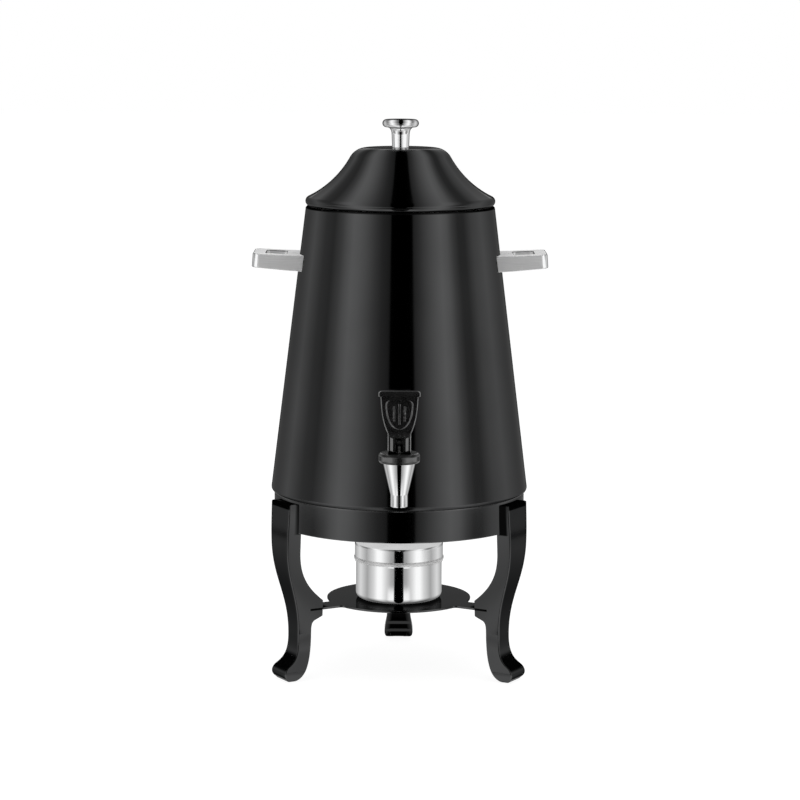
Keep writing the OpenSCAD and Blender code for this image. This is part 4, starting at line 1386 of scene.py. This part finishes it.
@dataclass
class Tap:
    """Lever tap: a chromed spout on a shank, a black bonnet and a black lever with a thumb recess."""

    tank: Tank
    shank_z: float = 226.0
    reach: float = 36.0
    shank_r: float = 8.0
    shank_start: float = 10.0
    shank_inside: float = 15.0
    flange_w: float = 6.0
    flange_t: float = 3.0
    gasket_t: float = 3.0
    bore_r: float = 5.0
    cone_r: float = 16.0
    cone_h: float = 31.0
    cone_rise: float = 12.0
    tip_r: float = 8.5
    tip_h: float = 12.0
    wall: float = 2.0
    neck_h: float = 6.0
    outlet_r: float = 5.5
    seat_rise: float = 6.0
    cup_h: float = 10.05
    spigot_step: float = 2.0
    bonnet_r: float = 20.0
    bonnet_h: float = 9.5
    bonnet_roof: float = 3.0
    bonnet_soft: float = 2.6
    bonnet_fade: float = 1.5
    bonnet_slip: float = 0.1
    pin_rise: float = 10.5
    stem_r: float = 2.6

    @property
    def wall_y(self) -> float:
        """Place of the tank's outer face at the shank."""
        return -self.tank.wall_r(self.shank_z)

    @property
    def y(self) -> float:
        """Place of the spout's axis in front of the tank."""
        return self.wall_y - self.reach

    @property
    def cone_top(self) -> float:
        """Height of the cone's upper edge."""
        return self.shank_z + self.cone_rise

    @property
    def seat_z(self) -> float:
        """Height of the valve's seat."""
        return self.cone_top - self.cone_h + self.seat_rise

    @property
    def spigot_r(self) -> float:
        """Radius of the spigot that the bonnet sits on."""
        return self.cone_r - self.spigot_step

    @property
    def spigot_z(self) -> float:
        """Height of the spigot's upper end."""
        return self.cone_top + self.bonnet_h - self.bonnet_roof

    @property
    def pin_z(self) -> float:
        """Height of the lever's pin."""
        return self.cone_top + self.bonnet_h + self.pin_rise

    def spout(self) -> Skin:
        """Turned spout: tip, cone and spigot, hollow above the valve's seat.

        Returns:
            The closed surface.
        """
        top, low, seat = self.cone_top, self.cone_top - self.cone_h, self.seat_z
        tip, bore = low - self.tip_h, self.spigot_r - self.wall
        seat_r = self.tip_r + (self.cone_r - self.tip_r) * self.seat_rise / self.cone_h - self.wall
        corners = [[self.outlet_r, tip], [self.tip_r, tip], [self.tip_r, low], [self.cone_r, top],
                   [self.spigot_r, top], [self.spigot_r, self.spigot_z], [bore, self.spigot_z],
                   [bore, top - self.neck_h], [seat_r, seat], [self.outlet_r, seat]]
        radii = [0.4, 0.9, 0.5, 0.4, 0.2, 0.3, 0.3, 0.5, 0.3, 0.3]
        return lathe(rounded(corners, radii), 160, at=(0.0, self.y))

    def shank(self) -> Skin:
        """Turned shank through the tank's wall, with a flange in front of its gasket.

        Returns:
            The closed surface.
        """
        start, end = self.y + self.shank_start, self.wall_y + self.tank.wall + self.shank_inside
        back, rod, collar = self.wall_y - self.gasket_t, self.shank_r, self.shank_r + self.flange_w
        front = back - self.flange_t
        corners = [[self.bore_r, start], [rod, start], [rod, front], [collar, front], [collar, back],
                   [rod, back], [rod, end], [self.bore_r, end]]
        radii = [0.2, 0.2, 0.4, 0.8, 0.4, 0.2, 0.8, 0.4]
        return lathe(rounded(corners, radii), 96, Axis.BACK, (0.0, self.shank_z))

    def bonnet(self) -> Skin:
        """Turned bonnet: a cap with round edges, which carry painted shade that makes them mirror less than
        its side.

        Returns:
            The closed surface.
        """
        low, high, soft = self.cone_top, self.cone_top + self.bonnet_h, self.bonnet_soft
        inner, roof = self.spigot_r + self.bonnet_slip, self.spigot_z
        corners = [[inner, low], [self.bonnet_r, low], [self.bonnet_r, high], [self.stem_r, high],
                   [self.stem_r, roof], [inner, roof]]
        line = rounded(corners, [0.3, soft, soft, 0.5, 0.2, 0.3], 14)
        past = np.abs(line[:, 1] - (low + high) / 2) - self.bonnet_h / 2 + soft
        # Painted shade over the round edges, fading in from the flat side
        return lathe(line, 160, at=(0.0, self.y), seam=np.clip(past / self.bonnet_fade, 0, 1))

    def build(self, looks: Palette) -> None:
        """Makes the spout, the bonnet, the lever and the spring.

        Args:
            looks: The materials.
        """
        Piece("spout", "urn", "polished_steel", ("tap_body",)).make(
            self.spout().joined(self.shank()), [looks.tap_polish])
        Piece("bonnet", "urn", "black_plastic", ("tap_bonnet",)).make(self.bonnet(), [looks.collar])
        Piece("lever", "lever", "black_plastic", ("tap_lever",)).make(
            Lever(self).skin(), [looks.plastic], sharp=34.0)
        Spring(self.y, self.spigot_z, self.seat_z + self.cup_h).build(looks)


@dataclass
class Lever:
    """Lever drawn about its pin: x to the right, n forward and w up."""

    tap: Tap
    height: float = 49.5
    neck_w: float = 22.4
    paddle_w: float = 36.4
    paddle_t: float = 6.0
    paddle_rise: float = 3.5
    face: float = 5.0
    flare: float = 0.5
    lip_h: float = 5.0
    lip_out: float = 2.0
    heel: float = 10.3
    lift: float = 3.0
    pull: float = 45.0
    back: float = -7.0
    block_top: float = 6.2
    slot_half: float = 3.3
    slot_n: float = -2.8
    slot_top: float = 4.8
    bevel_d: float = 1.4
    bevel_in: float = 6.1
    bevel_out: float = 8.7
    thumb: float = 1.0
    thumb_rise: float = 6.5
    thumb_drop: float = 4.0
    thumb_side: float = 5.0
    thumb_r: float = 4.0
    thumb_soft: float = 1.2
    rib_pitch: float = 5.2
    rib_half: float = 0.85
    rib_soft: float = 0.3
    rib_fade: float = 1.5
    rib_share: float = 0.9
    soft: float = 1.0

    @property
    def paddle_z(self) -> float:
        """Lower end of the paddle."""
        return self.block_top + self.paddle_rise

    @property
    def lip_z(self) -> float:
        """Lower edge of the lip."""
        return self.height - self.lip_h

    def lines(self, w: Array) -> tuple[Array, Array, Array]:
        """Front, back and half width at heights above the pin.

        The heel is a cam: at a pull a its face stands h + k a from the pin, so its points are
        (h sin a + k cos a, k sin a - h cos a). The other curves' handles lie beside their points.

        Args:
            w: Heights in millimetres, rising.

        Returns:
            The three values at each height.
        """
        rate = self.lift / math.radians(self.pull)
        a = np.radians(np.linspace(0, self.pull, 30))
        h = self.heel + rate * a
        cam = np.stack([h * np.sin(a) + rate * np.cos(a), rate * np.sin(a) - h * np.cos(a)], axis=1)
        low, lip, top, hair = self.paddle_z, self.lip_z, self.height, 0.01
        flush, hollow = self.face + self.flare, self.face - 1
        paddle = bezier([flush, low], [hollow, low + 12], [hollow, lip - 12], [flush, lip - hair])
        edge, rear, back = flush + self.lip_out, self.face - self.paddle_t, self.back
        front = np.concatenate([
            cam, [[cam[-1, 0], self.block_top]], paddle,
            bezier([edge - 0.8, lip], [edge, lip + 1], [edge, top - 1.5], [edge - 1.5, top])])
        behind = np.concatenate([
            [[back + 1.5, -self.heel], [back, 1.5 - self.heel], [back, self.block_top - 2]],
            paddle - [self.paddle_t, 0],
            bezier([rear + 0.5, lip], [rear - 0.5, top - 3], [rear - 0.5, top], [rear + 1, top])[1:]])
        n, p = self.neck_w / 2, self.paddle_w / 2
        half = np.concatenate([
            [[n, -self.heel], [n, self.block_top]],
            bezier([n, low - 1], [p - 2.5, low + 8], [p - 0.6, low + 18], [p, lip - hair]),
            arc((p + self.lip_out - 1, lip + 1), 1, -90, 0, 6),
            arc((p + self.lip_out - 2, top - 2), 2, 0, 90, 10)])
        return tuple(np.interp(w, line[:, 1], line[:, 0]) for line in (front, behind, half))

    def recess(self, x: Array, w: Array) -> Array:
        """Depth of the thumb recess: a round-ended hollow that narrows downward, with three ribs left in it.

        Args:
            x: Places across the lever.
            w: Heights above the pin.

        Returns:
            Depth in millimetres.
        """
        low, high, r = self.block_top + self.thumb_rise, self.lip_z - self.thumb_drop, self.thumb_r
        half, beyond = self.paddle_w / 2 - self.thumb_side, -5
        side = bezier([0, low], [half * 0.7, low], [half, low + 12], [half, high - r])
        line = np.concatenate([side, arc((half - r, high - r), r, 0, 90, 12)[1:]])
        room = np.interp(w, line[:, 1], line[:, 0], left=beyond, right=beyond) - np.abs(x)
        step = np.clip(np.round(x / self.rib_pitch), -1, 1)
        rib = smooth_step((self.rib_half - np.abs(x - self.rib_pitch * step)) / self.rib_soft)
        start, end = low + 4.5 + 3 * np.abs(step), high - 3.5 - 2 * np.abs(step)
        reach = np.clip((w - start) / self.rib_fade, 0, 1) * np.clip((end - w) / self.rib_fade, 0, 1)
        return self.thumb * smooth_step(room / self.thumb_soft) * (1 - self.rib_share * rib * reach)

    def skin(self) -> Skin:
        """Loft of level sections: a dense front line with slot, bevels and recess, and a plain back line.

        Returns:
            The closed surface in the frame of the urn.
        """
        lip, slot_top, waist, neck = self.lip_z, self.slot_top, -3.8, 10
        jumps = np.array([slot_top, slot_top - 0.1, self.block_top, self.paddle_z, lip])
        even = np.concatenate([np.linspace(-self.heel, waist, 24), np.linspace(waist, neck, 36),
                               np.linspace(neck, lip, 110), np.linspace(lip, self.height, 24)])
        w = with_steps(even, jumps, 0.004)[:, None]
        front, back, half = (value[:, None] for value in self.lines(w[:, 0]))
        soft = np.minimum(self.soft, (front - back) / 3)
        hair, inside = 0.01, 0.93
        steps = np.array([self.slot_half - hair, self.slot_half + hair, self.bevel_in, self.bevel_out])
        steps = steps / (self.neck_w / 2)
        rim = 1 - np.array([0.0, 0.003, 0.01, 0.02, 0.034, 0.052, 0.075])
        dense = np.concatenate([np.linspace(-inside, inside, 131), steps, -steps, rim, -rim])
        x = half * np.unique(np.round(dense, 5))[None]
        ramp = (self.bevel_out - np.abs(x)) / (self.bevel_out - self.bevel_in)
        bevel = self.bevel_d * np.clip(np.minimum(ramp, (self.block_top - w) / self.bevel_d), 0, 1)
        block = float(front[(w > 0) & (w < slot_top)].max())
        ahead = front - self.recess(x, w) - round_off(np.abs(x) - half + soft, soft)
        ahead = np.where(bevel > 0, np.minimum(ahead, block - bevel), ahead)
        ahead = np.where((np.abs(x) < self.slot_half) & (w < slot_top), np.minimum(ahead, self.slot_n), ahead)
        plain = np.concatenate([np.linspace(-inside, inside, 25), rim, -rim])
        x_back = half * np.unique(np.round(plain, 5))[None, ::-1]
        behind = back + round_off(np.abs(x_back) - half + soft, soft)
        x, forth = np.concatenate([x, x_back], axis=1), np.concatenate([ahead, behind], axis=1)
        return loft(x, self.tap.y - forth, self.tap.pin_z + w)


@dataclass(frozen=True)
class Spring:
    """Return spring of the valve: one wire wound round the stem, pressed together as the valve rises."""

    y: float
    top: float
    low: float
    coil_r: float = 4.2
    wire_r: float = 0.55
    gap: float = 0.1
    turns: int = 7
    lift: float = 3.0

    def build(self, looks: Palette) -> None:
        """Sweeps the wire along a helix, (r cos t, r sin t, p t).

        Args:
            looks: The materials.
        """
        start, end = self.low + self.gap + self.wire_r, self.top - self.gap - self.wire_r
        t = np.linspace(0, 2 * np.pi * self.turns, 32 * self.turns + 1)[:, None]
        b = np.linspace(0, 2 * np.pi, 12, endpoint=False)[None]
        rho = self.coil_r + self.wire_r * np.cos(b)
        z = start + (end - start) * t / t[-1] + self.wire_r * np.sin(b)
        grid = np.stack([rho * np.cos(t), self.y + rho * np.sin(t), z], axis=-1)
        skin = Skin.of_grid(grid, np.zeros(z.shape), False).capped(b.size)
        made = Piece("spring", "urn", "plain_steel", ("tap_spring",)).make(skin, [looks.tap_steel])
        self.y * MM
        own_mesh(made)


@dataclass(frozen=True)
class InnerPieces:
    """Solids that stay as they are and only get a finish."""

    steel: tuple[str, ...] = (
        "tank_floor", "lid_collar", "leg_screws", "handle_screws", "knob_screw", "knob_washer")
    tap_steel: tuple[str, ...] = ("valve_stem", "lever_pin")
    chrome: tuple[str, ...] = ("shank_nut",)
    soft: tuple[str, ...] = ("handle_washers", "shank_gasket_outer", "shank_gasket_inner", "seat_cup")
    unmirrored: tuple[str, ...] = ("tank_floor", "leg_screws")

    def dress(self, looks: Palette) -> None:
        """Gives every solid its material.

        Args:
            looks: The materials.
        """
        groups = ((self.steel, looks.steel), (self.tap_steel, looks.tap_steel),
                  (self.chrome, looks.tap_polish), (self.soft, looks.silicone))
        for names, material in groups:
            for name in names:
                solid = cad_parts[name]
                solid.data.materials.clear()
                solid.data.materials.append(material)
                solid.visible_glossy = name not in self.unmirrored
                LOG.info("%s: dressed in %s", name, material.name)


# Studio


@dataclass(frozen=True)
class Patch:
    """A patch of the world on both sides of the front.

    It has four heights and four angles in degrees: where it starts, is full, fades and ends. Angles below 0
    or past 180 are never met, so there it goes on to the front or to the back.
    """

    heights: tuple[float, float, float, float]
    angles: tuple[float, float, float, float]

    def share(self, g: Graph, z: Socket, half_angle: Socket) -> Socket:
        """Share of the patch in a direction, by its height and half of its angle."""
        aside = g.between(half_angle, *np.radians(self.angles) / 2)
        return g.math("MULTIPLY", g.between(z, *self.heights), aside)


@dataclass
class Studio:
    """Camera, pale floor and soft light.

    The stops give the grey of the light panels by azimuth, in degrees from the front. Pairs with z or y in
    their name are the places along a direction's z or y between which a part of the world comes in.
    """

    distance: float = 2.778
    height: float = 0.677
    pitch: float = 8.23
    roll: float = 0.24
    lens: float = 124.38
    sensor: float = 36.0
    shift: float = 0.0006
    view_end: float = 50.0
    lamp_power: float = 50.0
    lamp_size: float = 2.4
    lamp_place: tuple[float, float, float] = (0.0, -0.25, 2.4)
    lamp_tilt: float = 6.0
    floor_half: float = 14.0
    floor_z: float = -0.0004
    floor_tone: tuple[float, float] = (0.86, 0.9)
    floor_rough: float = 0.9
    floor_white: float = 1.16
    floor_white_share: float = 0.8
    inner_end: tuple[float, float] = (0.43, 0.47)
    outer_end: tuple[float, float] = (0.7, 0.78)
    narrow_z: tuple[float, float] = (0.15, 0.6)
    narrow_share: float = 0.12
    low_level: float = 1.1
    end_level: float = 0.15
    ground_z: tuple[float, float] = (-0.5, -0.6)
    ground_share: float = 0.8
    ground_level: float = 0.7
    sill_z: tuple[float, float] = (0.165, 0.19)
    sill_level: float = 0.06
    window_y: tuple[float, float] = (0.95, 0.972)
    window_level: float = 0.9

    BELT_PLACE: ClassVar[Patch] = Patch((-0.135, -0.12, -0.035, -0.015), (-2, -1, 80, 92))
    LOW_PANELS: ClassVar[Patch] = Patch((-0.175, -0.168, -0.14, -0.135), (36, 44, 100, 112))
    DARK_ENDS: ClassVar[Patch] = Patch((-0.175, -0.168, -0.156, -0.152), (112, 120, 190, 200))
    PANELS: ClassVar[Stops] = (
        (-180, 0.08), (-168, 0.08), (-154, 0.24), (-120, 0.7), (-98, 0.3), (-84, 0.22), (-72, 0.46),
        (-64, 0.77), (-56, 1.0), (-48, 0.9), (-40, 0.7), (-28, 0.35), (-20, 0.19), (-10.6, 0.11), (-10, 0.0),
        (14, 0.0), (14.6, 0.14), (22, 0.28), (34, 0.64), (40, 0.81), (48, 1.0), (56, 0.84), (64, 0.44),
        (72, 0.22), (81, 0.22), (94, 0.52), (112, 0.72), (139, 0.44), (154, 0.3), (168, 0.08), (180, 0.08))
    BELT: ClassVar[Stops] = ((0, 0.0), (7, 0.0), (9, 0.6), (24, 1.0), (180, 1.0))
    FLOOR_SIDE: ClassVar[Stops] = (
        (46, 1.0), (56, 1.0), (68, 0.68), (90, 0.37), (119, 0.75), (150, 0.55), (180, 0.5))
    FLOOR_OUTER: ClassVar[Stops] = ((0, 0.0), (11, 0.0), (12.5, 0.33), (20, 0.4), (33, 0.68)) + FLOOR_SIDE
    FLOOR_INNER: ClassVar[Stops] = ((0, 0.0), (11.5, 0.0), (13, 1.0), (24, 0.95), (31, 0.66)) + FLOOR_SIDE

    def build(self) -> None:
        """Makes the camera, the floor, the world and one large lamp."""
        self.camera()
        self.floor()
        self.world()
        lamp = bpy.data.lights.new("top_light", "AREA")
        lamp.energy, lamp.size = self.lamp_power, self.lamp_size
        top = bpy.data.objects.new("top_light", lamp)
        top.location = self.lamp_place
        top.rotation_euler = (math.radians(self.lamp_tilt), 0.0, 0.0)
        top.visible_glossy = False
        bpy.context.scene.collection.objects.link(top)
        bpy.context.scene.view_settings.view_transform = "Standard"

    def camera(self) -> None:
        """Camera in front, a little above and turned down."""
        data = bpy.data.cameras.new("camera")
        data.lens, data.sensor_width, data.shift_x = self.lens, self.sensor, self.shift
        data.clip_end = self.view_end
        made = bpy.data.objects.new("camera", data)
        made.location = (0.0, -self.distance, self.height)
        down = Quaternion((1, 0, 0), math.radians(90 - self.pitch))
        made.rotation_euler = (down @ Quaternion((0, 0, 1), math.radians(self.roll))).to_euler()
        bpy.context.scene.collection.objects.link(made)
        bpy.context.scene.camera = made

    def floor(self) -> None:
        """White floor: it takes the shadow, and metal sees the light panels that stand on it.

        Near the stand and further out the panels have other levels, and beyond them metal sees the world.
        """
        mesh = bpy.data.meshes.new("floor")
        far, z = self.floor_half, self.floor_z
        mesh.from_pydata([(-far, -far, z), (far, -far, z), (far, far, z), (-far, far, z)], [], [(0, 1, 2, 3)])
        made = bpy.data.objects.new("floor", mesh)
        bpy.context.scene.collection.objects.link(made)
        g = Graph("floor")
        g.feed("Base Color", g.tone(g.noise(scale=3.0), 1.0, self.floor_tone))
        g.feed("Roughness", self.floor_rough)
        plain, path = g.shader.outputs[0], g.add("ShaderNodeLightPath").outputs
        x, y, _ = g.add("ShaderNodeSeparateXYZ", {0: g.place}).outputs
        angle = g.math("ARCTAN2", x, g.math("MULTIPLY", y, -1.0))
        turn, reach = g.math("DIVIDE", g.math("ABSOLUTE", angle), math.pi), g.length(g.place)
        inner, outer = g.ramp(turn, self.FLOOR_INNER), g.ramp(turn, self.FLOOR_OUTER)
        panels = g.glow(g.blend(g.slope(reach, *self.inner_end), inner, outer))
        clear = g.add("ShaderNodeBsdfTransparent").outputs[0]
        mirrored = g.mix(g.slope(reach, *self.outer_end), panels, clear)
        seen = g.mix(self.floor_white_share, plain, g.glow(grey(1.0), self.floor_white))
        other = g.mix(path["Is Glossy Ray"], plain, mirrored)
        g.join(g.mix(path["Is Camera Ray"], other, seen), g.output.inputs[0])
        mesh.materials.append(g.material)

    def world(self) -> None:
        """Soft light from panels to the left and right, with a dark gap in front and at the sides.

        The brightness follows the angle 2 atan2(x, 1 - y) of a direction, so that each panel arches overhead
        to the back. Below the horizon lie a belt for the handles, two bright panels with dark ends for the
        bonnet, and the grey of the ground. Low at the back there is a bright window above a dark sill.
        """
        world = bpy.data.worlds.new("studio")
        bpy.context.scene.world = world
        g = WorldGraph(world)
        x, y, z = g.add("ShaderNodeSeparateXYZ", {0: g.place}).outputs
        narrowing = g.math("MULTIPLY", g.rise(z, *self.narrow_z), self.narrow_share)
        turn = g.math("ARCTAN2", x, g.math("SUBTRACT", 1.0, y))
        turn = g.math("MULTIPLY", turn, g.math("SUBTRACT", 1.0, narrowing))
        aside = g.math("ABSOLUTE", turn)
        light = g.ramp(g.math("ADD", g.math("DIVIDE", turn, math.pi), 0.5), self.PANELS)
        belt = g.ramp(g.math("DIVIDE", aside, math.pi / 2), self.BELT)
        patches = ((self.BELT_PLACE, belt), (self.LOW_PANELS, grey(self.low_level)),
                   (self.DARK_ENDS, grey(self.end_level)))
        for patch, colour in patches:
            light = g.blend(patch.share(g, z, aside), light, colour)
        ground = g.math("MULTIPLY", g.rise(z, *self.ground_z), self.ground_share)
        light = g.blend(ground, light, grey(self.ground_level))
        window = g.blend(g.rise(z, *self.sill_z), grey(self.sill_level), grey(self.window_level))
        light = g.blend(g.rise(y, *self.window_y), light, window)
        g.feed("Color", g.blend(g.add("ShaderNodeLightPath").outputs["Is Camera Ray"], light, grey(1.0)))


def main() -> None:
    """Builds the urn piece by piece, then the studio."""
    logging.basicConfig(level=logging.INFO, format="%(name)s %(message)s")
    tank, stand = Tank(), Stand()
    tap = Tap(tank)
    looks = Palette.mixed(tap.y)
    tank.build(looks)
    Lid(tank).build(looks)
    stand.build(looks)
    FuelCup(stand.plate_z).build(looks)
    for side in Side:
        Handle(tank, side).build(looks)
    tap.build(looks)
    InnerPieces().dress(looks)
    Studio().build()


if __name__ == "__main__":
    main()
